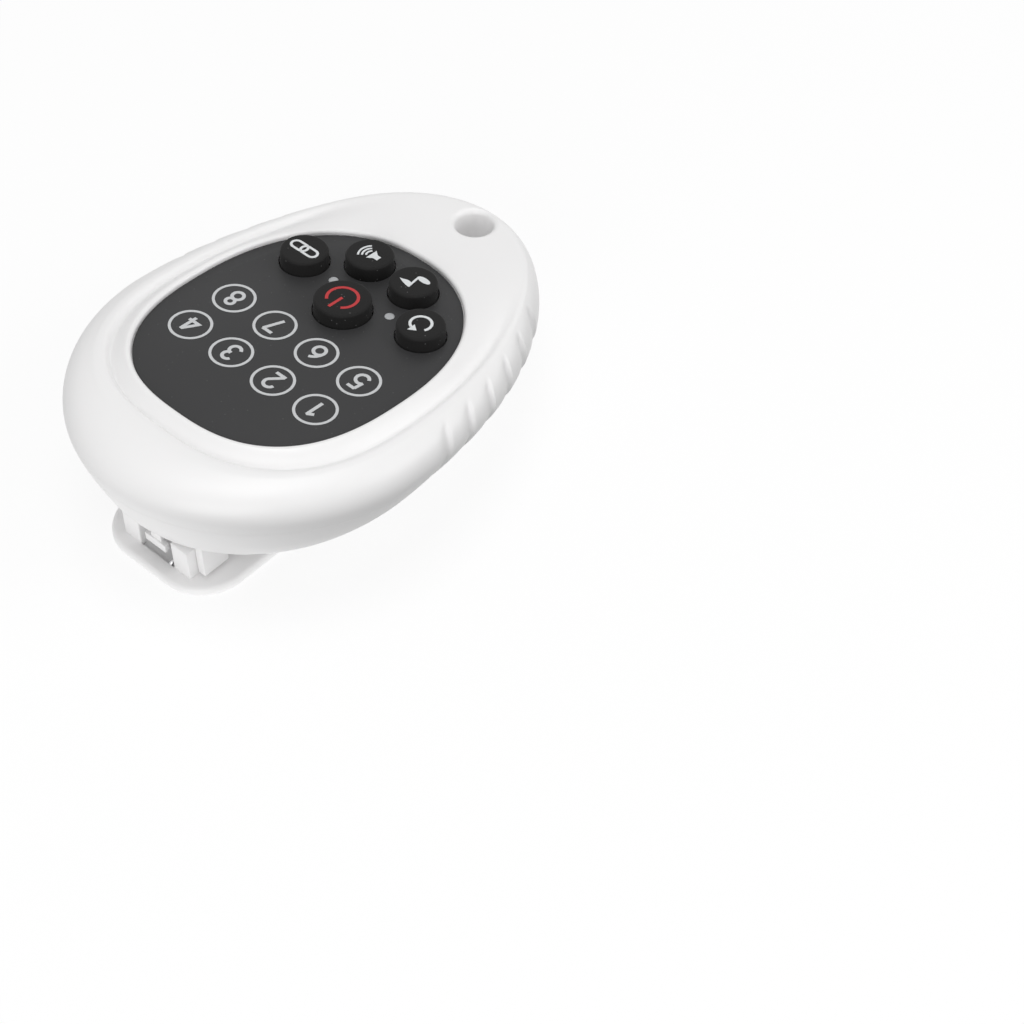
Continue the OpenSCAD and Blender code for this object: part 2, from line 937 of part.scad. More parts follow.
module number_leds() {
    color("lightyellow")
        on_label()
            for (p = numbers())
                lamp_at(p[0], p[1]);
}

module status_leds() {
    color("lightyellow")
        on_label()
            for (s = [-1, 1])
                lamp_at(s * pipe_x, pipe_y);
}

// A flat package under the board, beside the middle line
module under_board(x, size) {
    y = pipe_y - size[1] / 2;
    block([x, y, board_low - size[2]], [x + size[0], y + size[1], board_low]);
}

module radio_module() {
    color("seagreen")
        on_label()
            under_board(chip_gap / 2, [radio_l, radio_w, radio_t]);
}

module main_chip() {
    color("dimgray")
        on_label()
            under_board(-chip_gap / 2 - chip_l, [chip_l, chip_l, chip_t]);
}

// A bent wire under the board, round the chips
module antenna() {
    wire_r = 0.5;
    bend_r = 15.5;
    arc = 90;
    color("orange")
        on_label()
            translate([0, power_y, board_low - wire_r - fit])
                rotate(90 - arc / 2)
                    rotate_extrude(angle = arc)
                        translate([bend_r, 0])
                            circle(wire_r);
}

module speaker_frame() {
    color("gray")
        on_rear()
            translate([0, speaker_y, speaker_z])
                difference() {
                    rotate_extrude()
                        polygon([
                            [0, 0], [speaker_r, 0], [speaker_r, edge_h + cone_t],
                            [dish_r, basket_h], [0, basket_h]
                        ]);
                    pillar(0, 0, speaker_r - edge_w, -over, edge_h);
                    translate([0, 0, edge_h - fit])
                        cylinder(r1 = speaker_r - 2 * edge_w, r2 = dish_r - edge_w, h = dish_h);
                }
}

module speaker_cone() {
    rise = edge_h + cone_t;
    color("black")
        on_rear()
            translate([0, speaker_y, speaker_z])
                rotate_extrude()
                    polygon([
                        [0, rise], [cap_r, rise], [dish_r, edge_h - cone_t],
                        [speaker_r - edge_w, edge_h - cone_t], [speaker_r - edge_w, edge_h],
                        [dish_r, edge_h], [cap_r, rise + cone_t], [0, rise + cone_t]
                    ]);
}

module speaker_magnet() {
    color("silver")
        on_rear()
            pillar(0, speaker_y, dish_r - magnet_h / 2, speaker_z + basket_h, speaker_z + speaker_h);
}

// A cell lying across the part, its nub towards one side
module cell(y, side) {
    on_rear()
        translate([0, y, cell_z])
            rotate([0, side * 90, 0]) {
                pillar(0, 0, cell_r, -(cell_l + nub_l) / 2, (cell_l - nub_l) / 2);
                pillar(0, 0, nub_r, 0, (cell_l + nub_l) / 2);
            }
}

module cell_a() {
    color("steelblue")
        cell(bay_y - cell_pitch / 2, 1);
}

module cell_b() {
    color("steelblue")
        cell(bay_y + cell_pitch / 2, -1);
}

// One strip joins the cells at the left end
module bridge_contact() {
    half = cell_r * 2 / 3;
    reach = cell_pitch / 2 + half;
    color("silver")
        on_rear()
            block(
                [-bay_end, bay_y - reach, cell_z - half],
                [contact_t - bay_end, bay_y + reach, rear_z + bay_h]
            );
}

// A plate for each cell at the right end
module end_contacts() {
    half = cell_r * 2 / 3;
    color("silver")
        on_rear()
            for (s = [-1, 1])
                let (y = bay_y + s * cell_pitch / 2)
                    block(
                        [bay_end - contact_t, y - half, cell_z - half],
                        [bay_end, y + half, rear_z + bay_h]
                    );
}

module board_screws() {
    head = [1.6, 0.9];
    low = board_low - head[1];
    color("silver")
        on_label()
            for (p = posts) {
                pillar(p[0], p[1], head[0], low, board_low);
                pillar(p[0], p[1], board_screw_r - fit, low + fit, board_top + board_screw_bite);
            }
}

module case_screws() {
    cross = [1.4, 0.3, 0.7];
    color("silver")
        on_rear()
            for (p = screws)
                let (seat = seam_at(p[1]) - p[2])
                    translate([p[0], p[1], seat]) {
                        difference() {
                            pillar(0, 0, head_r, -head_h, 0);
                            for (a = [0, 90])
                                rotate(a)
                                    block(
                                        [-cross[0], -cross[1], -head_h - over],
                                        [cross[0], cross[1], cross[2] - head_h]
                                    );
                        }
                        pillar(0, 0, screw_r, cross[2] - head_h + fit, p[2] + screw_bite);
                    }
}

// The lever's plate with round corners and a full round edge
module plate() {
    e = plate_t / 2;
    c = plate_corner;
    x = plate_w / 2 - c;
    front = -plate_front;
    back = plate_back;
    for (s = [-1, 1]) {
        translate([s * (plate_w / 2 - e), front + c, e])
            rotate([-90, 0, 0])
                cylinder(r = e, h = back - front - 2 * c);
        for (y = [front + c, back - c])
            translate([s * x, y, e])
                rotate_extrude() {
                    translate([c - e, 0])
                        circle(e);
                    translate([0, -e])
                        square([c - e, 2 * e]);
                }
    }
    for (y = [front + e, back - e])
        rod(e, x, y, e);
    block([e - plate_w / 2, front + c, 0], [plate_w / 2 - e, back - c, plate_t]);
    block([-x, front + e, 0], [x, back - e, plate_t]);
}

// A sheet across the part, given by its outline along the part and in height
module across(half, points) {
    translate([-half, 0, 0])
        rotate([90, 0, 90])
            linear_extrude(2 * half)
                polygon(points);
}

// An ear that carries the lever on the pin
module ear(side) {
    low = plate_t / 2;
    top = pin_z + ear_top;
    front = pin_y - ear_front;
    back = pin_y + ear_back;
    translate([side * (window_half + ear_t / 2), 0, 0])
        across(ear_t / 2, [
            [front, low], [back, low], [back, pin_z], [back - ear_slope, top], [front, top]
        ]);
}

// The jaw that holds the belt, rising to the rear face
module jaw() {
    half = plate_w / 2 - jaw_side;
    low = plate_t / 2;
    top = rear_z - jaw_gap;
    nose = plate_back - jaw_inset;
    crest = nose - jaw_fall;
    foot = crest - jaw_flat - jaw_ramp;
    across(half, [
        [foot, low], [foot, plate_t], [foot + jaw_ramp, top],
        [crest, top], [nose, plate_t + jaw_nose], [nose, low]
    ]);
}

module clip_bracket() {
    color("whitesmoke")
        on_rear()
            difference() {
                bracket_form(0);
                rod(pin_r + pin_fit, lug_out + over, pin_y, pin_z);
            }
}

module clip_lever() {
    color("white")
        on_rear()
            difference() {
                union() {
                    plate();
                    ear(-1);
                    ear(1);
                    jaw();
                }
                rod(pin_r + pin_play, plate_w, pin_y, pin_z);
                block(
                    [-window_half, pin_y - ear_front, plate_t - pocket],
                    [window_half, pin_y + ear_back, pin_z + ear_top]
                );
            }
}

module clip_pin() {
    color("silver")
        on_rear()
            rod(pin_r, lug_out - fit, pin_y, pin_z);
}

// Path of the spring: a leg behind the ledge, the coil and a leg on the plate, each with its angle
path = concat(
    [for (u = [1, 0.5]) [[-coil_half, -u * upper_leg, coil_r + u * leg_lift], 90]],
    [
        for (i = [0:coil_steps * (coil_turns + 0.5)])
            let (a = 90 - 360 * i / coil_steps)
            [[-coil_half + coil_pitch * i / coil_steps, coil_r * cos(a), coil_r * sin(a)], a]
    ],
    [for (u = [0.5, 1]) [[coil_half, -u * lower_leg, -coil_r - u * lower_drop], -90]]
);

// Least gap of the wire to itself, between points more than half a turn apart
spring_gap = min([
    for (i = [0:len(path) - 1])
        for (j = [i + coil_steps / 2 + 1:1:len(path) - 1])
            norm(path[i][0] - path[j][0]) - wire_d
]);
echo("least gap of the spring to itself", spring_gap);

module clip_spring() {
    sides = 6;
    rings = [
        for (p = path)
            let (n = [0, cos(p[1]), sin(p[1])])
            [
                for (k = [sides - 1:-1:0])
                    let (a = 360 * k / sides)
                    p[0] + wire_d / 2 * (cos(a) * n + sin(a) * [1, 0, 0])
            ]
    ];
    color("dimgray")
        on_rear()
            translate([0, pin_y, pin_z])
                skin(rings);
}

front_shell();
rear_cover();
battery_door();
face_label();
key_power();
key_pair();
key_volume();
key_melody();
key_reset();
pill_power();
pill_pair();
pill_volume();
pill_melody();
pill_reset();
key_mat();
light_guide();
status_pipes();
circuit_board();
contact_pads();
number_leds();
status_leds();
radio_module();
main_chip();
antenna();
speaker_frame();
speaker_cone();
speaker_magnet();
cell_a();
cell_b();
bridge_contact();
end_contacts();
board_screws();
case_screws();
clip_bracket();
clip_lever();
clip_pin();
clip_spring();
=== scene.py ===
"""Looks of a caregiver pager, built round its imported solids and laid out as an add-on.

Lengths are in metres. In the part's frame the clip plate lies on Z = 0 and +Y points to the lanyard eye.
In the label's frame the origin is the middle of the first row of numbers and +Z leaves the label.
"""

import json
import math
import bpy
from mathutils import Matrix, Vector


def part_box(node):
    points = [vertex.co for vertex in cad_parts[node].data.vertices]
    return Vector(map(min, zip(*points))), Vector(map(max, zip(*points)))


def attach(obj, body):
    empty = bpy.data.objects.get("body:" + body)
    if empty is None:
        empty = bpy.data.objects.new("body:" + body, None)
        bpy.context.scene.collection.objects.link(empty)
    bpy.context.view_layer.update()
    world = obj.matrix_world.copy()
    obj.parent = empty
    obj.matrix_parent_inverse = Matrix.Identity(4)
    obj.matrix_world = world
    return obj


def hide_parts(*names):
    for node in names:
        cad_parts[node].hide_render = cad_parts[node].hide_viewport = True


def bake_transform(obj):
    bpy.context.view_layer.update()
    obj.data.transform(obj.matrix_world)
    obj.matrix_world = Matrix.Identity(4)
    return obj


bl_info = {
    "name": "Caregiver pager",
    "version": (1, 0, 0),
    "blender": (4, 5, 0),
    "location": "View3D > Sidebar > Pager",
    "description": "Builds the housing, keypad, print, belt clip and studio of a caregiver pager",
    "category": "Object",
}

from types import SimpleNamespace

import bmesh
import bpy
import numpy as np
from bpy.props import FloatProperty, FloatVectorProperty, IntProperty, PointerProperty
from bpy.types import Operator, Panel, PropertyGroup
from mathutils import Matrix, Vector

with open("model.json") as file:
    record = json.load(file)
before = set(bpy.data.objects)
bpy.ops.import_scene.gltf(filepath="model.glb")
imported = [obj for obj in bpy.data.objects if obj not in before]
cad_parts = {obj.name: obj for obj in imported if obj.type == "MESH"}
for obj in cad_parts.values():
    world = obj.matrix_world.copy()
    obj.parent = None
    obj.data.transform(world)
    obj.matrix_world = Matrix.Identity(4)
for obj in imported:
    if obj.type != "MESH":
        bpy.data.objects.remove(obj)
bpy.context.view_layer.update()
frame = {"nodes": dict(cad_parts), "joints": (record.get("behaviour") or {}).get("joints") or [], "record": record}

MM = 0.001
TURN = 2 * math.pi
MOUNTS = {mount["name"]: mount for mount in frame["record"]["mounts"]}
JOINTS = {joint["name"]: joint for joint in frame["joints"]}
EYE = MOUNTS["lanyard_eye"]
PIN = JOINTS["lever_swing"]["pos_m"]
TILT = math.atan2(EYE["axis"][1], EYE["axis"][2])
KEYS = ("power", "pair", "volume", "melody", "reset")
# How far a cutting tool runs past the surface that it cuts, and the play of pieces that sit in each other.
OVER, FIT = 1 * MM, 0.05 * MM
# Strokes of one number rise by this much, one over the other, so that no two faces lie in one plane.
STEP = 0.002 * MM
# Edges that turn by more than this stay sharp.
SHARP = math.radians(32)

# Rows of the housing's section: lip, cove, dome, skirt, cover, the cover's inside and the shell's vault.
LIP_ROWS, COVE_ROWS, DOME_ROWS, SKIRT_ROWS, BOWL_ROWS, INSIDE_ROWS, VAULT_ROWS = 10, 34, 36, 17, 40, 10, 8
# Rows before the ridge and after it that are averaged, and how often.
RIDGE_BEFORE, RIDGE_AFTER, RIDGE_PASSES = 8, 7, 8
# The flank is rounded from this many rows after the ridge to this many after the seam, and how often.
FLANK_START, FLANK_END, FLANK_PASSES = 5, 14, 110
# Sine of the angle round the housing between which the cove fades, and between which the scallops lie.
COVE_FADE, GRIP_ARC = (0.35, 0.95), (0.12, 0.8)
# The scallops grow between these degrees of the dome and end between these shares of the cover's rows.
GRIP_GROW, GRIP_END = (18, 52), (0.2, 0.9)
# The vault's crown inside the label's edge.
CROWN_IN = 0.6 * MM

# Half the floor, its tint, the share of white where it is seen, and where its glow fades beside the part.
FLOOR_HALF, FLOOR_TINT, FLOOR_WHITE, GLOW_SPAN = 3.0, 0.97, 0.84, (0.018, 0.045)
# Width of the lamps and the point that they look at.
LAMP_WIDTH, LAMP_AIM = 0.45, (0, 0, 0.02)
SENSOR_MM = 36
STEEL = (0.56, 0.56, 0.57)


def size(name, mm, description):
    """A length that a user may change, given in millimetres."""
    return FloatProperty(name=name, description=description, default=mm * MM, unit="LENGTH", precision=5)


def share(name, value, description):
    """A plain number that a user may change."""
    return FloatProperty(name=name, description=description, default=value)


def tint(name, value, description):
    """A linear colour that a user may change."""
    return FloatVectorProperty(name=name, description=description, default=value, subtype="COLOR", size=3,
                               min=0, max=1)


class HousingSizes(PropertyGroup):
    """Sizes of the egg-shaped housing."""

    body_w: size("Width", 67.9, "Housing at its widest line")
    body_mid: size("Widest line", 4.2, "Widest line ahead of the first row of numbers")
    body_front: size("Wide end", 35.9, "From the widest line to the wide end")
    body_tip: size("Lanyard end", 56.1, "From the widest line to the lanyard end")
    body_n_front: share("Front squareness", 1.92, "Exponent of the outline at the wide end")
    body_n_tip: share("Tip squareness", 1.96, "Exponent of the outline at the lanyard end")
    equator_drop: size("Equator", 6, "Widest level below the label")
    seam_drop: size("Seam", 8.7, "Seam below the label")
    seam_gap: size("Seam gap", 0.03, "Gap of the seam at the outside")
    under_inset: size("Draw-in", 8.4, "How far the sides draw in down to the rear face")
    wall: size("Wall", 1.8, "Wall of shell and cover")
    floor_t: size("Floor", 2, "Thickness of the rear face")
    ridge_reach: size("Ridge", 4.6, "Ridge outside the label's edge at the sides")
    ridge_front_inset: size("Ridge inset", 11.3, "Ridge inside the wide end")
    ridge_tip_inset: size("Shoulder inset", 3.2, "Shoulder inside the lanyard end")
    ridge_mid: size("Ridge middle", 8, "Ridge's widest line ahead of the first row of numbers")
    ridge_n_front: share("Ridge front squareness", 2.45, "Exponent of the ridge at the wide end")
    ridge_n_tip: share("Ridge tip squareness", 2.05, "Exponent of the ridge at the lanyard end")
    ridge_drop: size("Ridge drop", 0.5, "Ridge below the label")
    lip_h: size("Lip", 0.8, "Lip round the label above it")
    lip_round: size("Lip rounding", 0.6, "Rounding of the lip's inner edge")
    rim_w: size("Lip width", 0.8, "From the recess to the outer edge of the lip")
    tip_h: size("Shoulder", 1.2, "Shoulder at the lanyard end above the label")
    cove_depth: size("Cove", 1.1, "Depth of the cove between lip and ridge")
    cove_lean: share("Cove lean", 2.1, "Above 1 the cove is deepest nearer the ridge")
    dome_power: share("Dome", 2, "Exponent of the section above the widest level")
    under_power: share("Underside", 1.27, "Exponent of the section below the widest level")
    eye_round: size("Eye rounding", 1.1, "Rounding of the eye's rim")
    eye_wall: size("Eye wall", 2.8, "Plastic between the eye and the hollow")
    around: IntProperty(name="Points round", description="Points round the housing", default=640, min=64)


class GripSizes(PropertyGroup):
    """Sizes of the scallops down both sides."""

    count: IntProperty(name="Scallops", description="Scallops on each side", default=6, min=1)
    pitch: size("Pitch", 6.42, "Distance from crest to crest")
    depth: size("Depth", 0.5, "Depth of a scallop")
    start: size("Start", 6.98, "First scallop's near end ahead of the first row of numbers")
    lean: share("Lean", 5, "Above 1 a scallop is deepest nearer the lanyard")


class FaceSizes(PropertyGroup):
    """Sizes of the label and its print."""

    label_w: size("Width", 47.4, "Width of the label")
    label_mid: size("Widest line", 10.5, "Label's widest line ahead of the first row of numbers")
    label_front: size("Front", 27, "From that line to the label's front edge")
    label_tip: size("Tip", 29.8, "From that line to the label's edge at the lanyard")
    label_n_front: share("Front squareness", 2.56, "Exponent of the label's front half")
    label_n_tip: share("Tip squareness", 2.25, "Exponent of the label's other half")
    label_t: size("Thickness", 0.35, "Thickness of the label")
    label_play: size("Play", 0.15, "Play round the label in its recess")
    panel_t: size("Panel", 1.4, "Panel under the label")
    pitch: size("Number pitch", 10, "Distance between numbers")
    number_r: size("Light hole", 2.9, "Radius of the light hole under a number")
    ring_r: size("Ring", 3.55, "Middle of the printed ring round a number")
    ring_w: size("Ring line", 0.5, "Width of the ring's line")
    digit_h: size("Digit", 3.7, "Height of a printed number")
    digit_w: size("Digit line", 0.62, "Width of a number's line")
    ink_t: size("Ink", 0.03, "Height of the print")
    pipe_r: size("Light", 0.86, "Radius of a status light")
    pipe_x: size("Light place", 6.75, "Status light beside the middle line")
    pipe_y: size("Light row", 25.5, "Status lights ahead of the first row of numbers")


class KeySizes(PropertyGroup):
    """Sizes and places of the five rubber keys."""

    key_r: size("Small key", 4.25, "Radius of the small keys")
    power_r: size("Power key", 5, "Radius of the power key")
    key_h: size("Height", 2.7, "Keys above the label")
    key_round: size("Rounding", 0.5, "Rounding of a key's top edge")
    crown: size("Crown", 0.05, "Middle of a key above the edge of its top")
    gap: size("Gap", 0.3, "Gap round a key in its hole")
    flange: size("Flange", 0.65, "Flange beyond the key's side")
    flange_play: size("Flange play", 0.2, "Gap between flange and panel")
    flange_t: size("Flange thickness", 0.6, "Thickness of the flange")
    stem_r: size("Stem", 2.2, "Radius of the stem")
    stem_h: size("Stem length", 0.3, "Length of the stem below the flange")
    power_y: size("Power key place", 21, "Power key ahead of the first row of numbers")
    outer_x: size("Outer keys", 14, "Outer keys beside the middle line")
    outer_y: size("Outer row", 25.6, "Outer keys ahead of the first row of numbers")
    inner_x: size("Inner keys", 5.25, "Inner keys beside the middle line")
    inner_y: size("Inner row", 32.8, "Inner keys ahead of the first row of numbers")


class ClipSizes(PropertyGroup):
    """Sizes of the belt clip."""

    plate_w: size("Plate", 28.1, "Width of the lever's plate")
    plate_t: size("Plate thickness", 1.9, "Thickness of the plate")
    belt_gap: size("Belt gap", 7, "Between plate and rear face")
    plate_front: size("Plate front", 28.2, "Plate's front end behind the first row of numbers")
    plate_back: size("Plate back", 26, "Plate's jaw end ahead of the first row of numbers")
    plate_corner: size("Plate corner", 9, "Corner radius of the plate")
    pin_r: size("Pin", 1.2, "Radius of the pin")
    lug_skin: size("Lug skin", 0.5, "Plastic over the pin's ends")
    pin_play: size("Pin play", 0.06, "Radial play of the lever on the pin")
    window_half: size("Window", 4.1, "Half the window between the ears")
    ear_t: size("Ear", 4, "Thickness of an ear")
    ear_front: size("Ear front", 4.5, "From the pin to the ear's face at the wide end")
    ear_back: size("Ear back", 3.4, "From the pin to the ear's face at the lanyard end")
    ear_top: size("Ear top", 2.7, "Top of an ear above the pin")
    ear_slope: size("Ear slope", 1.4, "Bevel of the ear's top at the lanyard end")
    pocket: size("Pocket", 0.7, "Depth of the spring's pocket in the plate")
    lug_play: size("Lug play", 0.2, "Between an ear and the lug beside it")
    lug_t: size("Lug", 1.7, "Thickness of a lug")
    lug_reach: size("Lug reach", 2.7, "From the pin to a lug's faces on either side")
    lug_clear: size("Lug clearance", 0.61, "Between a lug and the plate")
    lug_root: size("Lug root", 3.4, "How far a lug runs into the cover")
    root_front: size("Root", 1.2, "From the pin to the root's face at the wide end")
    ledge_half: size("Ledge", 2.5, "Half the length of the spring's ledge")
    ledge_t: size("Ledge thickness", 1.1, "Thickness of the ledge")
    ledge_h: size("Ledge height", 1.6, "Height of the ledge")
    ledge_drop: size("Ledge drop", 0.3, "Middle of the ledge below the pin")
    jaw_gap: size("Jaw gap", 0.3, "Between jaw and rear face")
    coil_r: size("Coil", 1.95, "Radius of the spring's coil")
    wire_d: size("Wire", 0.8, "Thickness of the spring's wire")
    coil_pitch: size("Coil pitch", 1.35, "Distance from turn to turn")
    coil_turns: share("Turns", 4.5, "Turns of the coil")
    soft: size("Edge", 0.25, "Rounding of the moulded edges")


class BatterySizes(PropertyGroup):
    """Sizes of the battery bay, the loudspeaker's seat and the screws."""

    cell_r: size("Cell", 5.25, "Radius of a cell")
    cell_l: size("Cell length", 43.6, "Length of a cell without its nub")
    cell_gap: size("Cell gap", 0.6, "Between the cells")
    cell_play: size("Cell play", 0.25, "Play round the cells")
    nub_l: size("Nub", 0.9, "Length of a cell's nub")
    nub_r: size("Nub radius", 1.9, "Radius of a cell's nub")
    contact_t: size("Contact", 0.4, "Thickness of the contact strip")
    bay_wall: size("Bay wall", 1.2, "Wall of the bay at the ends of the cells")
    rail_t: size("Rail", 2.6, "Wall of the bay along the cells")
    bay_h: size("Bay height", 8, "Bay's walls over the rear face")
    door_rim: size("Door rim", 0.3, "Door wider than the bay")
    door_tongue: size("Tongue", 1, "Tongue of the door along its edges")
    door_leaf: size("Door leaf", 1, "Thickness of the door's outer leaf")
    door_play: size("Door play", 0.15, "Play of the door in its slot")
    speaker_r: size("Loudspeaker", 9.5, "Radius of the loudspeaker")
    speaker_y: size("Loudspeaker place", 28.5, "Loudspeaker ahead of the first row of numbers")
    seat_wall: size("Seat", 1.2, "Wall of the loudspeaker's seat")
    seat_h: size("Seat height", 2, "Height of the loudspeaker's seat")
    slot_w: size("Grille slot", 1.4, "Width of a grille slot")
    slot_pitch: size("Slot pitch", 2.8, "Distance from slot to slot")
    slot_count: IntProperty(name="Slots", description="Grille slots", default=4, min=1)
    screw_r: size("Screw", 1.3, "Radius of a case screw's shank")
    head_r: size("Screw head", 2.4, "Radius of a case screw's head")
    head_h: size("Head height", 1.7, "Height of a case screw's head")
    head_play: size("Head play", 0.2, "Play round the head in its well")
    shank_play: size("Shank play", 0.15, "Play round the shank")
    bite: size("Screw bite", 4.2, "Length of a case screw inside the shell")
    post_r: size("Post", 3, "Radius of a screw post")
    post_gap: size("Post gap", 0.4, "Gap between the posts of shell and cover")
    front_x: size("Front screws", 17, "Front screws beside the middle line")
    front_y: size("Front screw row", -16.8, "Front screws ahead of the first row of numbers")
    front_shank: size("Front shank", 7, "Front screws below the seam")
    rear_x: size("Rear screws", 11.5, "Rear screws beside the middle line")
    rear_y: size("Rear screw row", 39, "Rear screws ahead of the first row of numbers")
    rear_shank: size("Rear shank", 4.4, "Rear screws below the seam")


class PagerColours(PropertyGroup):
    """Colours of the finishes."""

    shell: tint("Shell", (0.855, 0.85, 0.85), "White moulded plastic")
    label: tint("Label", (0.029, 0.029, 0.03), "Dark grey foil")
    ink: tint("Print", (0.55, 0.56, 0.57), "Light grey print on the label")
    rubber: tint("Keys", (0.0132, 0.013, 0.013), "Black silicone rubber")
    mark: tint("Key print", (0.68, 0.7, 0.71), "White print on the keys")
    power: tint("Power print", (0.46, 0.017, 0.021), "Red print on the power key")
    light: tint("Status lights", (0.4, 0.41, 0.42), "Cloudy light windows")


class StudioSettings(PropertyGroup):
    """Camera and light."""

    camera: FloatVectorProperty(name="Camera", description="Place of the camera", subtype="TRANSLATION",
                                size=3, default=(0.248878, -0.208336, 0.338121))
    aim: FloatVectorProperty(name="Aim", description="Point in the middle of the picture",
                             subtype="TRANSLATION", size=3, default=(0.049342, -0.003911, 0.02))
    roll: FloatProperty(name="Roll", description="Turn of the camera about its axis", subtype="ANGLE",
                        default=math.radians(-2.0675))
    lens: FloatProperty(name="Lens", description="Focal length on a 36 mm sensor, in millimetres",
                        default=93.6)
    sky: share("Sky", 0.48, "Strength of the light from all round")
    table: share("Table", 1.1, "Light from the floor")
    table_side: share("Table's sides", 0.08, "Light from the floor beside the part")
    key: share("Key lamp", 2.2, "Power of the large lamp overhead, in watts")
    front: share("Front lamp", 1.5, "Power of the large lamp in front, in watts")
    side: share("Side lamp", 1.4, "Power of the large lamp behind on the right, in watts")


def sizes():
    """The size groups of the scene."""
    return bpy.context.scene.pager


def forms():
    """Outlines and levels that follow from the sizes, with the label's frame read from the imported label.

    An outline is half width, middle, front reach, tip reach and the exponents of both halves."""
    h, a, k, c, b = (getattr(sizes(), n) for n in ("housing", "face", "keys", "clip", "battery"))
    f = SimpleNamespace(h=h, a=a, k=k, c=c, b=b, grip=sizes().grips)
    low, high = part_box("face_label")
    edge = a.label_front - a.label_mid
    f.origin_y = low.y + edge * math.cos(TILT) + a.label_t * math.sin(TILT)
    f.origin_z = high.z - edge * math.sin(TILT)
    f.rear_z = c.plate_t + c.belt_gap
    f.body_h = f.origin_z - f.rear_z
    f.tip_y = h.body_mid + h.body_tip
    f.eye_r = EYE["dims"]["r_mm"] * MM
    f.eye_y = from_part(f, EYE["pos_m"])[1]
    f.hollow_tip = f.eye_y - f.eye_r - h.eye_wall
    f.body = (h.body_w / 2, h.body_mid, h.body_front, h.body_tip, h.body_n_front, h.body_n_tip)
    f.label = (a.label_w / 2, a.label_mid, a.label_front, a.label_tip, a.label_n_front, a.label_n_tip)
    f.ridge = (a.label_w / 2 + h.ridge_reach, h.ridge_mid,
               h.ridge_mid - h.body_mid + h.body_front - h.ridge_front_inset,
               f.tip_y - h.ridge_mid - h.ridge_tip_inset, h.ridge_n_front, h.ridge_n_tip)
    f.hollow = (h.body_w / 2 - h.wall, h.body_mid, h.body_front - h.wall, f.hollow_tip - h.body_mid,
                h.body_n_front, h.body_n_tip)
    f.floor_l = -a.label_t
    f.ceiling_l = f.floor_l - a.panel_t
    f.flange_top = f.ceiling_l - k.flange_play
    f.flange_low = f.flange_top - k.flange_t
    f.stem_low = f.flange_low - k.stem_h
    f.key_places = ((0, k.power_y, k.power_r),
                    (-k.outer_x, k.outer_y, k.key_r), (-k.inner_x, k.inner_y, k.key_r),
                    (k.inner_x, k.inner_y, k.key_r), (k.outer_x, k.outer_y, k.key_r))
    f.numbers = [((1.5 - i) * a.pitch, j * a.pitch) for j in (0, 1) for i in range(4)]
    f.pipes = [(side * a.pipe_x, a.pipe_y) for side in (-1, 1)]
    f.cell_pitch = 2 * b.cell_r + b.cell_gap
    f.bay_half = f.cell_pitch / 2 + b.cell_r + b.cell_play
    f.bay_end = (b.cell_l + b.nub_l) / 2 + b.cell_play + b.contact_t
    f.cell_z = f.rear_z + h.floor_t + b.cell_play + b.cell_r
    pairs = (b.front_x, b.front_y, b.front_shank), (b.rear_x, b.rear_y, b.rear_shank)
    f.screws = [(side * x, y, shank) for x, y, shank in pairs for side in (1, -1)]
    f.pin_y, f.pin_z = PIN[1] - f.origin_y, PIN[2]
    f.lug_in = c.window_half + c.ear_t + c.lug_play
    f.lug_out = f.lug_in + c.lug_t
    return f


def from_part(f, point):
    """A point of the part's frame in the label's frame: moved to the origin, then turned back by the tilt."""
    x, y, z = point[0], point[1] - f.origin_y, point[2] - f.origin_z
    c, s = math.cos(TILT), math.sin(TILT)
    return x, y * c - z * s, y * s + z * c


def to_part(f, points):
    """Points of the label's frame in the part's frame: turned by the tilt about X, then moved."""
    c, s = math.cos(TILT), math.sin(TILT)
    x, y, z = np.moveaxis(points, -1, 0)
    return np.stack([x, y * c + z * s + f.origin_y, f.origin_z - y * s + z * c], axis=-1)


def egg(outline, t, grow=0.0):
    """Two half superellipses: x goes as cos^(2/n), y as sin^(2/n), each half with its own reach and n."""
    half, mid, front, tip, n_front, n_tip = outline
    c, s = np.cos(t), np.sin(t)
    n = np.where(s < 0, n_front, n_tip)
    reach = np.where(s < 0, front, tip) + grow
    x = (half + grow) * np.sign(c) * np.abs(c) ** (2 / n)
    y = mid + reach * np.sign(s) * np.abs(s) ** (2 / n)
    return x, y


def angles(count):
    """Angles round the housing, three times as close along the scallops: the inverse of a summed density."""
    t = np.linspace(0, TURN, 4001)
    near = (np.sin(t) > GRIP_ARC[0]) & (np.sin(t) < GRIP_ARC[1])
    summed = np.cumsum(1 + 2 * near) - 1
    return np.interp(np.arange(count) / count, summed / summed[-1], t)


def smooth_step(x, a, b):
    """0 below a, 1 above b, and the cubic 3u^2 - 2u^3 between them."""
    u = np.clip((x - a) / (b - a), 0, 1)
    return u * u * (3 - 2 * u)


def cove_at(t):
    """How strongly the cove shows at an angle: it fades out towards the eye."""
    return 1 - smooth_step(np.sin(t), *COVE_FADE)


def ridge_height(f, t):
    """Height of the ridge over the label: below it along the cove, on the shoulder at the lanyard end."""
    return f.h.tip_h - (f.h.tip_h + f.h.ridge_drop) * cove_at(t)


def rear_level(f, y):
    """Level of the rear face in the label's frame: a plane that the tilt turns."""
    return -f.body_h / math.cos(TILT) + y * math.tan(TILT)


def draw_in(f, q):
    """Draw-in of the underside at a share q of its depth: one quarter of a superellipse."""
    n = f.h.under_power
    return f.h.under_inset * (1 - np.maximum(0, 1 - q ** n) ** (1 / n))


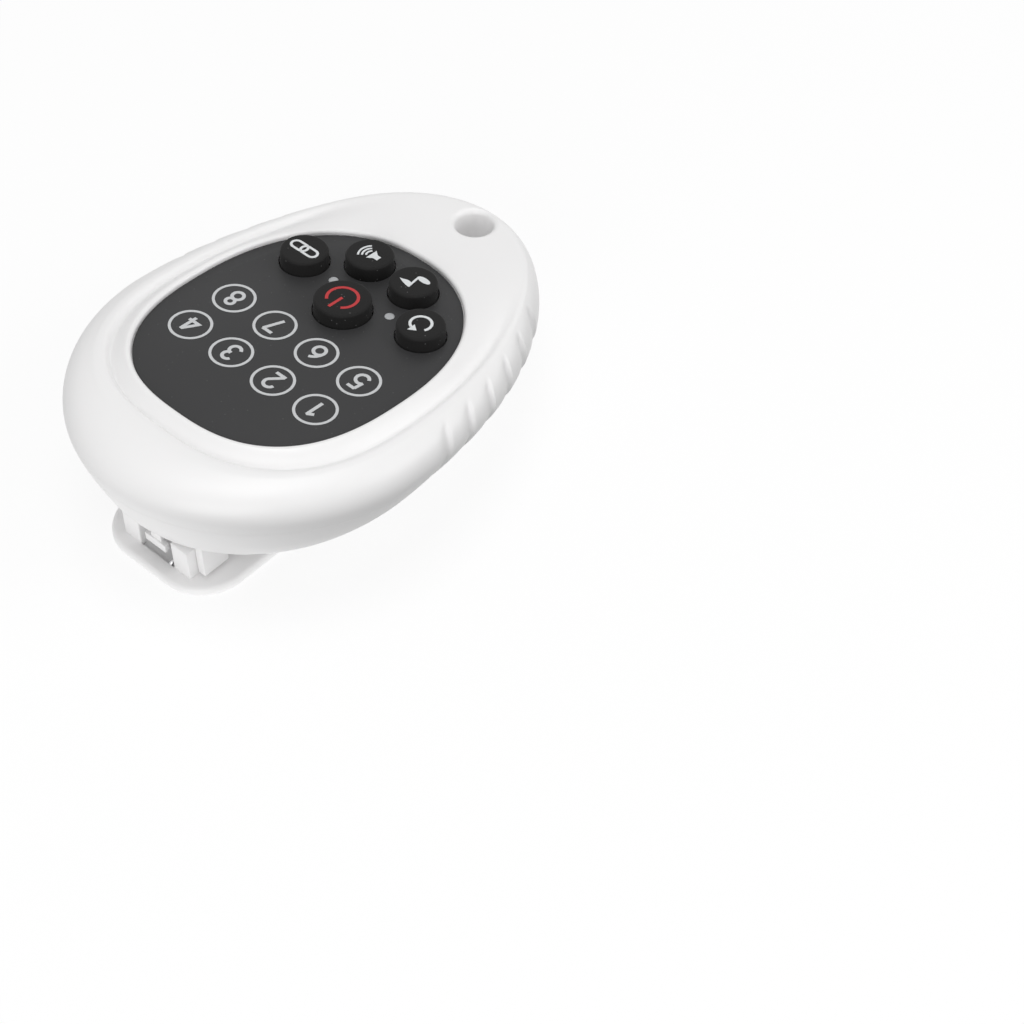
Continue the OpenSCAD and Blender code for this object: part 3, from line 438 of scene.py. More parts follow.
def scallop(f, t, strength):
    """Way in at each row and angle: a leaning sine from crest to crest, times the strength of the row."""
    g = f.grip
    x, y = egg(f.body, t)
    crest = (y - g.start) / g.pitch
    depth = g.depth * np.sin(math.pi * (crest % 1) ** g.lean) * ((crest > 0) & (crest < g.count))
    along = np.gradient(x, t), np.gradient(y, t)
    way = np.stack([-along[1], along[0]]) / np.hypot(*along) * depth
    return strength[:, None] * way[0], strength[:, None] * way[1]


def averaged(part, passes):
    """Points averaged along the section: each becomes a quarter, half, quarter mean, and the ends stay."""
    part = part.copy()
    for _ in range(passes):
        part[1:-1] = (part[:-2] + 2 * part[1:-1] + part[2:]) / 4
    return part


def full_round(part, passes):
    """Rounds a bulge without thinning it: what one averaging takes off is added before the next."""
    return averaged(2 * part - averaged(part, passes), passes)


def outer_rings(f, t):
    """Rings of the whole outside from the recess to the rear face, and the row of the seam.

    A wall and a quarter round make the lip, a sine sinks the cove between lip and ridge, a quarter
    superellipse makes the dome down to the widest level, and a second one draws the underside in. The ridge
    and the widest level are then rounded along the section, and the scallops are pressed in."""
    h, a = f.h, f.a
    t = t[None, :]
    turn = np.radians(np.linspace(0, 90, LIP_ROWS))[:, None]
    grow = np.concatenate([[[0]], h.lip_round * (1 - np.cos(turn))])
    x, y = egg(f.label, t, a.label_play + grow)
    z = np.concatenate([[[f.floor_l]], h.lip_h - h.lip_round + h.lip_round * np.sin(turn)]) + 0 * t
    lip = np.stack([x, y, z], axis=-1)
    u = np.linspace(0, 1, COVE_ROWS)[:, None]
    rim = np.stack(egg(f.label, t, a.label_play + h.rim_w))
    crest = np.stack(egg(f.ridge, t))
    x, y = rim[:, 0][:, None] + (crest - rim)[:, 0][:, None] * u
    sink = h.cove_depth * cove_at(t) * np.sin(math.pi * u ** h.cove_lean)
    band = np.stack([x, y, h.lip_h + (ridge_height(f, t) - h.lip_h) * u - sink], axis=-1)
    s = np.radians(np.linspace(0, 90, DOME_ROWS)[1:])[:, None]
    widest = np.stack(egg(f.body, t))
    x, y = crest[:, 0][:, None] + (widest - crest)[:, 0][:, None] * np.sin(s) ** (2 / h.dome_power)
    rise = np.maximum(0, np.cos(s)) ** (2 / h.dome_power)
    z = -h.equator_drop + (ridge_height(f, t) + h.equator_drop) * rise
    dome = np.stack([x, y, z], axis=-1)
    v = np.linspace(0, 1, SKIRT_ROWS)[1:, None]
    x, y = egg(f.body, t, -draw_in(f, v * seam_share(f, t)))
    skirt = np.stack([x, y, -h.equator_drop - v * (h.seam_drop - h.equator_drop) + 0 * t], axis=-1)
    bowl = bowl_rings(f, t[0], f.body, BOWL_ROWS, 0)[1:]
    rows = np.concatenate([lip, band, dome, skirt, bowl])
    ridge_row, seam_row = len(lip) + len(band), len(rows) - len(bowl) - 1
    near_ridge = slice(ridge_row - RIDGE_BEFORE, ridge_row + RIDGE_AFTER)
    rows[near_ridge] = averaged(rows[near_ridge], RIDGE_PASSES)
    flank = slice(ridge_row + FLANK_START, seam_row + FLANK_END)
    rows[flank] = full_round(rows[flank], FLANK_PASSES)
    grown = smooth_step(np.degrees(s[:, 0]), *GRIP_GROW)
    ended = smooth_step(np.linspace(1, 0, len(bowl)), *GRIP_END)
    x, y = scallop(f, t[0], np.concatenate([np.zeros(ridge_row), grown, np.ones(len(skirt)), ended]))
    rows[..., 0] += x
    rows[..., 1] += y
    return rows, seam_row


def shell_rings(f, t):
    """The outside of the front shell."""
    rows, seam = outer_rings(f, t)
    return rows[:seam + 1]


def seam_share(f, t):
    """Share of the underside's depth at which the seam cuts it."""
    y = egg(f.body, t)[1]
    return (f.h.seam_drop - f.h.equator_drop) / (-f.h.equator_drop - rear_level(f, y))


def vault_rings(f, t):
    """Rings of the shell's inside: from the wall's foot at the seam up to the panel, an elliptic vault."""
    h = f.h
    t = t[None, :]
    x, y = egg(f.hollow, t, -draw_in(f, seam_share(f, t)))
    foot = np.stack([x, y, -h.seam_drop + 0 * t], axis=-1)
    s = np.radians(np.linspace(90, 0, VAULT_ROWS))[:, None]
    crown = np.stack(egg(f.label, t, -CROWN_IN))
    wide = np.stack(egg(f.hollow, t))
    x, y = crown[:, 0][:, None] + (wide - crown)[:, 0][:, None] * np.sin(s)
    z = -h.equator_drop + (f.ceiling_l + h.equator_drop) * np.cos(s) + 0 * t
    return np.concatenate([foot, np.stack([x, y, z], axis=-1)])


def bowl_rings(f, t, outline, rows, floor):
    """Rings of the cover from the seam to the rear face: the underside's curve, closer together downwards."""
    t = t[None, :]
    v = np.sin(np.radians(np.linspace(0, 90, rows)))[:, None]
    start = seam_share(f, t)
    x, y = egg(outline, t, -draw_in(f, start + v * (1 - start)))
    top = -f.h.seam_drop
    return np.stack([x, y, top + (rear_level(f, y) + floor - top) * v], axis=-1)


def outer_bowl(f, t):
    """The outside of the cover, from a fine gap under the shell."""
    rows, seam = outer_rings(f, t)
    rows = rows[seam:]
    rows[0, :, 2] -= f.h.seam_gap
    return rows


def make(name, points, faces):
    """A mesh object of points and faces, with its faces turned outwards."""
    mesh = bpy.data.meshes.new(name)
    mesh.from_pydata(points.tolist(), [], faces)
    work = bmesh.new()
    work.from_mesh(mesh)
    bmesh.ops.recalc_face_normals(work, faces=work.faces)
    work.to_mesh(mesh)
    work.free()
    obj = bpy.data.objects.new(name, mesh)
    bpy.context.scene.collection.objects.link(obj)
    return obj


def skin(name, rings, loop=False):
    """A closed surface over rings of like length: quads between neighbours and a cap on either end.

    With loop the last ring joins the first, and there are no caps."""
    rows, columns = rings.shape[:2]
    index = np.arange(rows * columns).reshape(rows, columns)
    near = index if loop else index[:-1]
    far = np.roll(index, -1, axis=0) if loop else index[1:]
    quads = np.stack([near, np.roll(near, -1, axis=1), np.roll(far, -1, axis=1), far], axis=-1)
    faces = quads.reshape(-1, 4).tolist()
    if not loop:
        faces += [index[0][::-1].tolist(), index[-1].tolist()]
    return make(name, rings.reshape(-1, 3), faces)


def prism(name, outline, low, high):
    """A flat outline carried from one level to another."""
    flat = np.asarray(outline, float)
    ends = [np.column_stack([flat, np.full(len(flat), level)]) for level in (low, high)]
    return skin(name, np.stack(ends))


def block(name, low, high):
    """A box between two corners."""
    (ax, ay, az), (bx, by, bz) = low, high
    return prism(name, [(ax, ay), (bx, ay), (bx, by), (ax, by)], az, bz)


def across(name, half, outline, middle=0.0):
    """An outline along the part and in height, carried across the part."""
    flat = np.asarray(outline, float)
    ends = [np.column_stack([np.full(len(flat), middle + side * half), flat]) for side in (-1, 1)]
    return skin(name, np.stack(ends))


def lathe(name, profile, place=(0, 0), steps=72):
    """A profile of radius and level carried round an upright axis."""
    r, z = np.asarray(profile, float).T
    t = np.arange(steps) * TURN / steps
    x = place[0] + r[:, None] * np.cos(t)
    y = place[1] + r[:, None] * np.sin(t)
    return skin(name, np.stack([x, y, z[:, None] + 0 * x], axis=-1))


def pillar(name, x, y, r, low, high):
    """A round pillar or hole between two levels."""
    return lathe(name, [(r, low), (r, high)], (x, y))


def rod(name, profile, y, z, steps=48):
    """A profile of radius and X carried round a line across the part."""
    r, x = np.asarray(profile, float).T
    t = np.arange(steps) * TURN / steps
    r, x = r[:, None], x[:, None]
    return skin(name, np.stack([x + 0 * t, y + r * np.cos(t), z + r * np.sin(t)], axis=-1))


def move(obj, change):
    """Moves a mesh's points by a function of the whole array."""
    mesh = obj.data
    points = np.empty(len(mesh.vertices) * 3)
    mesh.vertices.foreach_get("co", points)
    mesh.vertices.foreach_set("co", change(points.reshape(-1, 3)).ravel())
    mesh.update()
    return obj


def onto_face(f, obj):
    """Moves a mesh from the label's frame to the part's frame."""
    return move(obj, lambda p: to_part(f, p))


def onto_rear(f, obj):
    """Moves a mesh that is given ahead of the first row of numbers and over the ground: along Y."""
    return move(obj, lambda p: p + np.array([0, f.origin_y, 0]))


def settle(obj):
    """Keeps the mesh that the modifiers give and drops them."""
    graph = bpy.context.evaluated_depsgraph_get()
    made = bpy.data.meshes.new_from_object(obj.evaluated_get(graph))
    old = obj.data
    obj.modifiers.clear()
    obj.data = made
    bpy.data.meshes.remove(old)
    if not made.polygons:
        raise RuntimeError(f"{obj.name} came out empty")
    return obj


def combine(target, tools, operation):
    """Adds, cuts or intersects solids one after another, and removes the tools."""
    for tool in tools:
        step = target.modifiers.new("combine", "BOOLEAN")
        step.operation = operation
        step.solver = "MANIFOLD"
        step.object = tool
        settle(target)
        bpy.data.meshes.remove(tool.data)
    return target


def cut(target, *tools):
    """Takes the tools out of the target."""
    return combine(target, tools, "DIFFERENCE")


def add(target, *tools):
    """Fuses the tools to the target."""
    return combine(target, tools, "UNION")


def soften(obj, width, segments=3):
    """Rounds the sharp edges of a plain solid."""
    edge = obj.modifiers.new("edge", "BEVEL")
    edge.width = width
    edge.segments = segments
    edge.limit_method = "ANGLE"
    edge.angle_limit = SHARP
    return settle(obj)


def join(name, objects):
    """One object of several meshes."""
    points, faces, start = [], [], 0
    for obj in objects:
        mesh = obj.data
        co = np.empty(len(mesh.vertices) * 3)
        mesh.vertices.foreach_get("co", co)
        points.append(co.reshape(-1, 3))
        faces += [[i + start for i in face.vertices] for face in mesh.polygons]
        start += len(mesh.vertices)
        bpy.data.meshes.remove(mesh)
    return make(name, np.concatenate(points), faces)


def dress(obj, finish, body, slot, *nodes):
    """Gives a finished piece its material, smooth faces, its body and the nodes that it stands for."""
    mesh = obj.data
    mesh.materials.clear()
    mesh.materials.append(finish)
    mesh.shade_smooth()
    mesh.set_sharp_from_angle(angle=SHARP)
    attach(obj, body)
    if nodes:
        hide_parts(*nodes)
    return obj


def ribbon(name, path, width, low, high):
    """A flat line of print: a box profile carried along a path, mitred where the path turns.

    A path that ends where it starts becomes a closed line."""
    p = np.asarray(path, float)
    loop = np.allclose(p[0], p[-1])
    if loop:
        p = p[:-1]
    ahead = np.roll(p, -1, axis=0) - p
    behind = np.roll(ahead, 1, axis=0)
    if not loop:
        ahead[-1], behind[0] = ahead[-2], ahead[0]
    n1, n2 = (np.stack([-d[:, 1], d[:, 0]], axis=-1) / np.linalg.norm(d, axis=1)[:, None]
              for d in (behind, ahead))
    side = (n1 + n2) / (1 + np.sum(n1 * n2, axis=1))[:, None] * width / 2
    corners = [(p - side, low), (p + side, low), (p + side, high), (p - side, high)]
    rings = np.stack([np.column_stack([q, np.full(len(q), z)]) for q, z in corners], axis=1)
    return skin(name, rings, loop)


def arc(x, y, r, start, end, steps=40, squeeze=1.0):
    """Points of an arc between two angles in degrees, squeezed across."""
    t = np.radians(np.linspace(start, end, steps))
    return np.column_stack([x + r * squeeze * np.cos(t), y + r * np.sin(t)])


def stadium(x, y, reach, r, steps):
    """Outline of a slot with round ends: two half circles, each its reach from the middle."""
    ends = [arc(x + side * reach, y, r, turn, turn + 180, steps) for side, turn in ((1, -90), (-1, 90))]
    return np.concatenate(ends)


def line(*points):
    """Points of a line with corners."""
    return np.array(points, float)


def digit_strokes():
    """Strokes of the numbers 1 to 8 in a box 1 high, as lines and arcs."""
    return {
        1: [line((0.1, 0.78), (0.4, 0.985)), line((0.37, 1), (0.37, 0))],
        2: [np.concatenate([arc(0.3, 0.72, 0.28, 172, -38), line((0.06, 0.03))]), line((0, 0), (0.6, 0))],
        3: [arc(0.29, 0.755, 0.245, 160, -85), arc(0.29, 0.275, 0.275, 88, -158)],
        4: [line((0.46, 0), (0.46, 1)), line((0.44, 0.98), (0.03, 0.25), (0.66, 0.25))],
        5: [line((0.56, 1), (0.1, 1)), line((0.13, 1), (0.08, 0.5)),
            arc(0.29, 0.31, 0.31, 138, -152)],
        6: [arc(0.31, 0.3, 0.29, 0, 360, 60), arc(0.67, 0.3, 0.65, 178, 112)],
        7: [line((0.02, 1), (0.6, 1)), line((0.57, 1), (0.2, 0))],
        8: [arc(0.3, 0.775, 0.215, 0, 360, 60), arc(0.3, 0.275, 0.275, 0, 360, 60)],
    }


def printed(name, strokes, scale, width, place, low, high):
    """Strokes laid on the label, read from the lanyard side: turned half round about their middle."""
    return [ribbon(name, np.asarray(place) - stroke * scale, width, low, high + i * STEP)
            for i, stroke in enumerate(strokes)]


def face_holes(f, low, high, numbers=()):
    """Holes for the keys, for the lights under the given numbers and for the status lights."""
    places = [(x, y, r + f.k.gap) for x, y, r in f.key_places]
    places += [(x, y, f.a.number_r) for x, y in numbers]
    places += [(x, y, f.a.pipe_r + FIT) for x, y in f.pipes]
    return [pillar("hole", *place, low, high) for place in places]


class PAGER_OT_front_shell(Operator):
    """Lofts the front shell and cuts its eye, key holes and light holes"""

    bl_idname = "pager.front_shell"
    bl_label = "Front shell"

    def execute(self, context):
        f = forms()
        t = angles(f.h.around)
        shell = skin("housing_top", np.concatenate([shell_rings(f, t), vault_rings(f, t)]))
        cut(shell, eye_tool(f), *face_holes(f, f.ceiling_l - OVER, f.floor_l + OVER, f.numbers))
        onto_face(f, shell)
        dress(shell, shell_finish(), "housing", "shell", "front_shell")
        return {"FINISHED"}


def eye_tool(f):
    """The lanyard eye as a solid: a bore whose rim flares by a quarter round and leans with the top."""
    h, rows, steps = f.h, 12, 96
    edge = f.a.label_mid + f.a.label_tip + f.a.label_play + h.rim_w
    slope = (h.tip_h - h.lip_h) / (f.tip_y - h.ridge_tip_inset - edge)
    top = h.lip_h + slope * (f.eye_y - edge)
    turn = np.radians(np.linspace(0, 90, rows))
    flare = np.column_stack([f.eye_r + h.eye_round * (1 - np.cos(turn)),
                             top + h.eye_round * (np.sin(turn) - 1)])
    bore = np.array([[f.eye_r, rear_level(f, 0) - OVER]])
    lid = np.array([[f.eye_r + h.eye_round, top + 2 * OVER]])
    tool = lathe("eye", np.concatenate([bore, flare, lid]), (0, f.eye_y), steps)
    return move(tool, lambda p: np.column_stack([p[:, :2], p[:, 2] + slope * (p[:, 1] - f.eye_y)]))


def door_room(f, play):
    """The door's form, with play the room that it slides in: a leaf and a wider tongue."""
    top = f.rear_z + f.h.floor_t + play
    leaf = f.bay_half + f.b.door_rim + play
    tongue = leaf + f.b.door_tongue
    low = f.rear_z + f.b.door_leaf - play
    outline = [(-leaf, f.rear_z - OVER), (leaf, f.rear_z - OVER), (leaf, low), (tongue, low),
               (tongue, top), (-tongue, top), (-tongue, low), (-leaf, low)]
    return onto_rear(f, across("room", f.h.body_w, outline))


def cover_form(f, name):
    """The cover's outer form as a full solid."""
    return onto_face(f, skin(name, outer_bowl(f, angles(f.h.around))))


def seam_height(f, y):
    """Height of the seam over the ground."""
    return f.origin_z - y * math.tan(TILT) - f.h.seam_drop / math.cos(TILT)


def grille_slots(f):
    """Slots with round ends, as long as the loudspeaker's opening is wide there."""
    b = f.b
    open_r = b.speaker_r - b.seat_wall
    slots = []
    for i in range(b.slot_count):
        y = (i - (b.slot_count - 1) / 2) * b.slot_pitch
        reach = math.sqrt(open_r ** 2 - y ** 2) - b.slot_w / 2
        outline = stadium(0, b.speaker_y + y, reach, b.slot_w / 2, 16)
        slots.append(prism("slot", outline, f.rear_z - OVER, f.rear_z + f.h.floor_t + OVER))
    return slots


def bracket_blocks(f, play):
    """Corners of the bracket's blocks: two lugs for the pin, the spring's ledge, its stalk and the root.

    With play they give the room that the bracket takes in the cover."""
    c = f.c
    front, back = f.pin_y - c.ear_front, f.pin_y + c.lug_reach + play
    low, top = f.rear_z + f.h.floor_t - play, f.rear_z + c.lug_root + play
    middle = f.pin_z - c.ledge_drop
    near, far = f.lug_in - play, f.lug_out + play
    reach = f.pin_y - c.lug_reach - play
    foot = c.plate_t + c.lug_clear
    stalk, stalk_y = c.ledge_half / 2 + play, front + c.ledge_drop - play
    return [
        ((-far, reach, foot), (-near, back, top)),
        ((near, reach, foot), (far, back, top)),
        ((-c.ledge_half, front, middle - c.ledge_h / 2),
         (c.ledge_half, front + c.ledge_t, middle + c.ledge_h / 2)),
        ((-stalk, stalk_y, middle), (stalk, front + c.ledge_t + play, top)),
        ((-stalk, stalk_y, low), (stalk, f.pin_y, top)),
        ((-far, f.pin_y - c.root_front - play, low), (far, back, top)),
    ]


class PAGER_OT_rear_cover(Operator):
    """Lofts the rear cover with its bay, screw wells, grille and the bracket's slots"""

    bl_idname = "pager.rear_cover"
    bl_label = "Rear cover"

    def execute(self, context):
        f = forms()
        h, b = f.h, f.b
        t = angles(h.around)
        inside = bowl_rings(f, t, f.hollow, INSIDE_ROWS, h.floor_t)[::-1]
        inside[-1, :, 2] -= h.seam_gap
        cover = skin("housing_bottom", np.concatenate([inside, outer_bowl(f, t)]))
        onto_face(f, cover)
        out, wide = f.bay_end + b.bay_wall, f.bay_half + b.rail_t
        foot, seat_top = f.rear_z + OVER / 2, f.rear_z + h.floor_t + b.seat_h
        inner = [block("bay", (-out, -wide, f.rear_z + h.floor_t / 2), (out, wide, f.rear_z + b.bay_h))]
        inner += [pillar("post", x, y, b.post_r, foot, seam_height(f, y) - b.post_gap)
                  for x, y, _ in f.screws]
        inner.append(pillar("seat", 0, b.speaker_y, b.speaker_r + b.seat_wall, foot, seat_top))
        inner = [onto_rear(f, s) for s in inner]
        add(cover, *[combine(s, [cover_form(f, "limit")], "INTERSECT") for s in inner])
        tools = [block("cells", (-f.bay_end, -f.bay_half, foot), (f.bay_end, f.bay_half, f.origin_z))]
        for x, y, shank in f.screws:
            seam = seam_height(f, y)
            tools.append(pillar("well", x, y, b.head_r + b.head_play, f.rear_z - OVER, seam - shank))
            tools.append(pillar("hole", x, y, b.screw_r + b.shank_play, seam - shank - OVER, seam + OVER))
        tools.append(pillar("seat", 0, b.speaker_y, b.speaker_r + FIT, f.rear_z + h.floor_t, seat_top + OVER))
        tools += grille_slots(f)
        tools += [block("bracket", *corners) for corners in bracket_blocks(f, FIT)]
        tools = [onto_rear(f, s) for s in tools]
        cut(cover, door_room(f, b.door_play), *tools, onto_face(f, eye_tool(f)))
        dress(cover, shell_finish(), "housing", "shell", "rear_cover")
        return {"FINISHED"}


class PAGER_OT_clip_bracket(Operator):
    """Builds the bracket that carries the pin and the spring's ledge"""

    bl_idname = "pager.clip_bracket"
    bl_label = "Clip bracket"

    def execute(self, context):
        f = forms()
        bracket, *others = [soften(block("hinge_bracket", *corners), f.c.soft / 2)
                            for corners in bracket_blocks(f, 0)]
        add(bracket, *others)
        r, end = f.c.pin_r + FIT / 2, f.lug_out - f.c.lug_skin
        cut(bracket, rod("bore", [(r, -end), (r, end)], f.pin_y, f.pin_z))
        onto_rear(f, bracket)
        dress(bracket, shell_finish(), "housing", "shell", "clip_bracket")
        return {"FINISHED"}


class PAGER_OT_battery_door(Operator):
    """Cuts the sliding battery door out of the cover's form and adds its thumb ribs"""

    bl_idname = "pager.battery_door"
    bl_label = "Battery door"

    def execute(self, context):
        f = forms()
        ribs, pitch, width, half, depth = 4, 1.8 * MM, 0.8 * MM, 6 * MM, 0.4 * MM
        start = f.h.body_w / 2 - f.h.under_inset - ribs * pitch - OVER
        door = combine(cover_form(f, "door_panel"), [door_room(f, 0)], "INTERSECT")
        grooves = [block("rib", (start + i * pitch, -half, f.rear_z - OVER),
                         (start + i * pitch + width, half, f.rear_z + depth)) for i in range(ribs)]
        cut(door, *[onto_rear(f, g) for g in grooves])
        dress(door, shell_finish(), "door", "door", "battery_door")
        return {"FINISHED"}


class PAGER_OT_face_label(Operator):
    """Makes the dark label with its key holes and light holes"""

    bl_idname = "pager.face_label"
    bl_label = "Label"

    def execute(self, context):
        f = forms()
        steps, edge = 480, 0.08 * MM
        outline = np.column_stack(egg(f.label, np.arange(steps) * TURN / steps))
        foil = soften(prism("label_foil", outline, f.floor_l, 0), edge, 2)
        cut(foil, *face_holes(f, f.floor_l - OVER, OVER))
        onto_face(f, foil)
        dress(foil, label_finish(), "housing", "label", "face_label")
        return {"FINISHED"}


class PAGER_OT_number_print(Operator):
    """Prints the eight ringed numbers on the label"""

    bl_idname = "pager.number_print"
    bl_label = "Number print"

    def execute(self, context):
        f = forms()
        a = f.a
        low, high = -a.ink_t, a.ink_t
        strokes, middle, ring_steps = digit_strokes(), np.array([0.31, 0.5]), 97
        pieces = []
        for number, (x, y) in enumerate(f.numbers, 1):
            pieces.append(ribbon("ring", arc(x, y, a.ring_r, 0, 360, ring_steps), a.ring_w, low, high))
            centred = [s - middle for s in strokes[number]]
            pieces += printed("digit", centred, a.digit_h, a.digit_w, (x, y), low, high)
        ink = onto_face(f, join("number_print", pieces))
        dress(ink, ink_finish(), "housing", "label")
        return {"FINISHED"}


class PAGER_OT_status_lights(Operator):
    """Sets the two cloudy light windows into the label"""

    bl_idname = "pager.status_lights"
    bl_label = "Status lights"

    def execute(self, context):
        f = forms()
        r, bulge = f.a.pipe_r, 0.12 * MM
        turn = np.radians(np.linspace(0, 90, 7)[:-1])
        cap = np.column_stack([r * np.cos(turn), bulge * np.sin(turn)])
        profile = np.concatenate([[[r, f.flange_low]], cap])
        windows = [lathe("window", profile, place, 40) for place in f.pipes]
        lights = onto_face(f, join("status_windows", windows))
        dress(lights, light_finish(), "housing", "clear", "status_pipes")
        return {"FINISHED"}


def key_top(f, r, distance):
    """Height of a key's top at a distance from its axis: a shallow crown that falls with the square."""
    flat = r - f.k.key_round
    return f.k.key_h - f.k.crown * (distance / flat) ** 2


class PAGER_OT_keys(Operator):
    """Turns the five rubber keys with crowned tops, rounded edges, flanges and stems"""

    bl_idname = "pager.keys"
    bl_label = "Keys"

    def execute(self, context):
        f = forms()
        k = f.k
        core, rows, steps = 0.04, 8, 96
        for name, (x, y, r) in zip(KEYS, f.key_places):
            flat = r - k.key_round
            across_top = np.linspace(core, 1, rows) * flat
            top = np.column_stack([across_top, key_top(f, r, across_top)])
            turn = np.radians(np.linspace(90, 0, 9)[1:])
            low = k.key_h - k.crown - k.key_round
            edge = np.column_stack([flat + k.key_round * np.cos(turn), low + k.key_round * np.sin(turn)])
            foot = [(r, f.flange_top), (r + k.flange, f.flange_top), (r + k.flange, f.flange_low),
                    (k.stem_r, f.flange_low), (k.stem_r, f.stem_low)]
            key = lathe(f"cap_{name}", np.concatenate([top, edge, foot]), (x, y), steps)
            onto_face(f, key)
            dress(key, rubber_finish(), f"key_{name}_body", "rubber", f"key_{name}")
        return {"FINISHED"}


def power_mark():
    """An open ring with a bar through the opening."""
    return [(arc(0, 0, 2.7, 128, 412, 60), 0.56), (line((0, 0.05), (0, 3.3)), 0.56)], []


def pair_mark():
    """Two chain links that overlap."""
    links = [stadium(x, 0, 0.75, 0.95, 20) for x in (-1.15, 1.15)]
    return [(np.concatenate([link, link[:1]]), 0.48) for link in links], []


def volume_mark():
    """A loudspeaker with three waves."""
    horn = line((-2.2, -0.55), (-1.35, -0.55), (-0.35, -1.3), (-0.35, 1.3), (-1.35, 0.55), (-2.2, 0.55))
    waves = [(arc(-0.7, 0, r, -42, 42, 20), 0.36) for r in (1.15, 1.85, 2.55)]
    return waves, [horn]


def melody_mark():
    """An eighth note: a lying head, a leaning stem and a flag between two arcs."""
    head = arc(-1.15, -1.35, 0.62, 0, 351, 40, 2.2)
    upper = np.column_stack([np.linspace(-0.55, 2.3, 14), 1.75 - 0.75 * np.linspace(0, 1, 14) ** 2])
    lower = np.column_stack([np.linspace(2.3, -0.5, 14), 0.75 + 0.25 * np.cos(np.linspace(0, 5, 14))])
    return [(line((0.05, -1.4), (-0.4, 1.75)), 0.42)], [head, np.concatenate([upper, lower])]


def reset_mark():
    """A round arrow."""
    tip = line((0.55, 2.75), (0.55, 0.95), (-0.75, 1.85))
    return [(arc(0, 0, 1.85, 72, -208, 60), 0.5)], [tip]


def rubber_prints(f, name, marks):
    """Strokes and filled shapes in millimetres as solids, turned half round as the numbers are."""
    strokes, areas = marks
    ink = f.a.ink_t
    solids = [ribbon(name, -path * MM, width * MM, -ink, ink) for path, width in strokes]
    return solids + [prism(name, -area * MM, -ink, ink) for area in areas]


def on_key(f, place, points):
    """Points of a sign in the part's frame: moved to the key's place and up to its crowned top."""
    x, y, r = place
    top = key_top(f, r, np.hypot(points[:, 0], points[:, 1]))
    return to_part(f, np.column_stack([points[:, 0] + x, points[:, 1] + y, points[:, 2] + top]))


class PAGER_OT_key_marks(Operator):
    """Prints a plain sign on each key"""

    bl_idname = "pager.key_marks"
    bl_label = "Key signs"

    def execute(self, context):
        f = forms()
        marks = power_mark(), pair_mark(), volume_mark(), melody_mark(), reset_mark()
        for name, place, signs in zip(KEYS, f.key_places, marks):
            mark = join(f"mark_{name}", rubber_prints(f, name, signs))
            move(mark, lambda p: on_key(f, place, p))
            finish = power_ink_finish() if name == "power" else mark_finish()
            dress(mark, finish, f"key_{name}_body", "rubber")
        return {"FINISHED"}


def plate_rings(f):
    """A rounded rectangle whose edge is a half circle: each ring steps in by 1 - cos and up by sin."""
    c, steps, rows = f.c, 160, 15
    e = c.plate_t / 2
    t = (np.arange(steps) + 0.5) * TURN / steps
    turn = np.radians(np.linspace(-90, 90, rows))[:, None]
    r = c.plate_corner - e * (1 - np.cos(turn))
    x = np.sign(np.cos(t)) * (c.plate_w / 2 - c.plate_corner) + r * np.cos(t)
    middle, half = (c.plate_back - c.plate_front) / 2, (c.plate_back + c.plate_front) / 2
    y = middle + np.sign(np.sin(t)) * (half - c.plate_corner) + r * np.sin(t)
    return np.stack([x, y, e + e * np.sin(turn) + 0 * t], axis=-1)


def jaw_solid(f, low):
    """The jaw at the lever's end: a side view with a slope, a flat crest and a nose, carried across."""
    c = f.c
    nose_in, nose_h, crest_l, rise_l, slope_l, side_in = np.array([1.2, 0.6, 2.6, 1.6, 5.1, 2]) * MM
    nose = c.plate_back - nose_in
    crest = nose - crest_l
    rise = crest - rise_l
    start, top = rise - slope_l, f.rear_z - c.jaw_gap
    view = [(start, low), (start, c.plate_t), (rise, top), (crest, top),
            (nose, c.plate_t + nose_h), (nose, low)]
    return soften(across("jaw", c.plate_w / 2 - side_in, view), c.soft)


class PAGER_OT_clip(Operator):
    """Builds the clip lever with its ears, pocket and jaw, and its pin"""

    bl_idname = "pager.clip"
    bl_label = "Clip"

    def execute(self, context):
        f = forms()
        c = f.c
        lever = skin("clip_plate", plate_rings(f))
        front, back, top = f.pin_y - c.ear_front, f.pin_y + c.ear_back, f.pin_z + c.ear_top
        low = c.plate_t / 2
        ear_view = [(front, low), (back, low), (back, f.pin_z), (back - c.ear_slope, top), (front, top)]
        ears = [soften(across("ear", c.ear_t / 2, ear_view, side * (c.window_half + c.ear_t / 2)), c.soft)
                for side in (-1, 1)]
        add(lever, *ears, jaw_solid(f, low))
        pocket = block("pocket", (-c.window_half, front, c.plate_t - c.pocket),
                       (c.window_half, back, top + OVER))
        bore = c.pin_r + c.pin_play
        cut(lever, pocket, rod("bore", [(bore, -c.plate_w), (bore, c.plate_w)], f.pin_y, f.pin_z))
        onto_rear(f, lever)
        dress(lever, shell_finish(), "lever", "shell", "clip_lever")
        end, bevel = f.lug_out - c.lug_skin - FIT, 0.2 * MM
        profile = [(c.pin_r - bevel, -end), (c.pin_r, bevel - end), (c.pin_r, end - bevel),
                   (c.pin_r - bevel, end)]
        pin = onto_rear(f, rod("hinge_pin", profile, f.pin_y, f.pin_z))
        dress(pin, steel_finish(), "housing", "steel", "clip_pin")
        return {"FINISHED"}


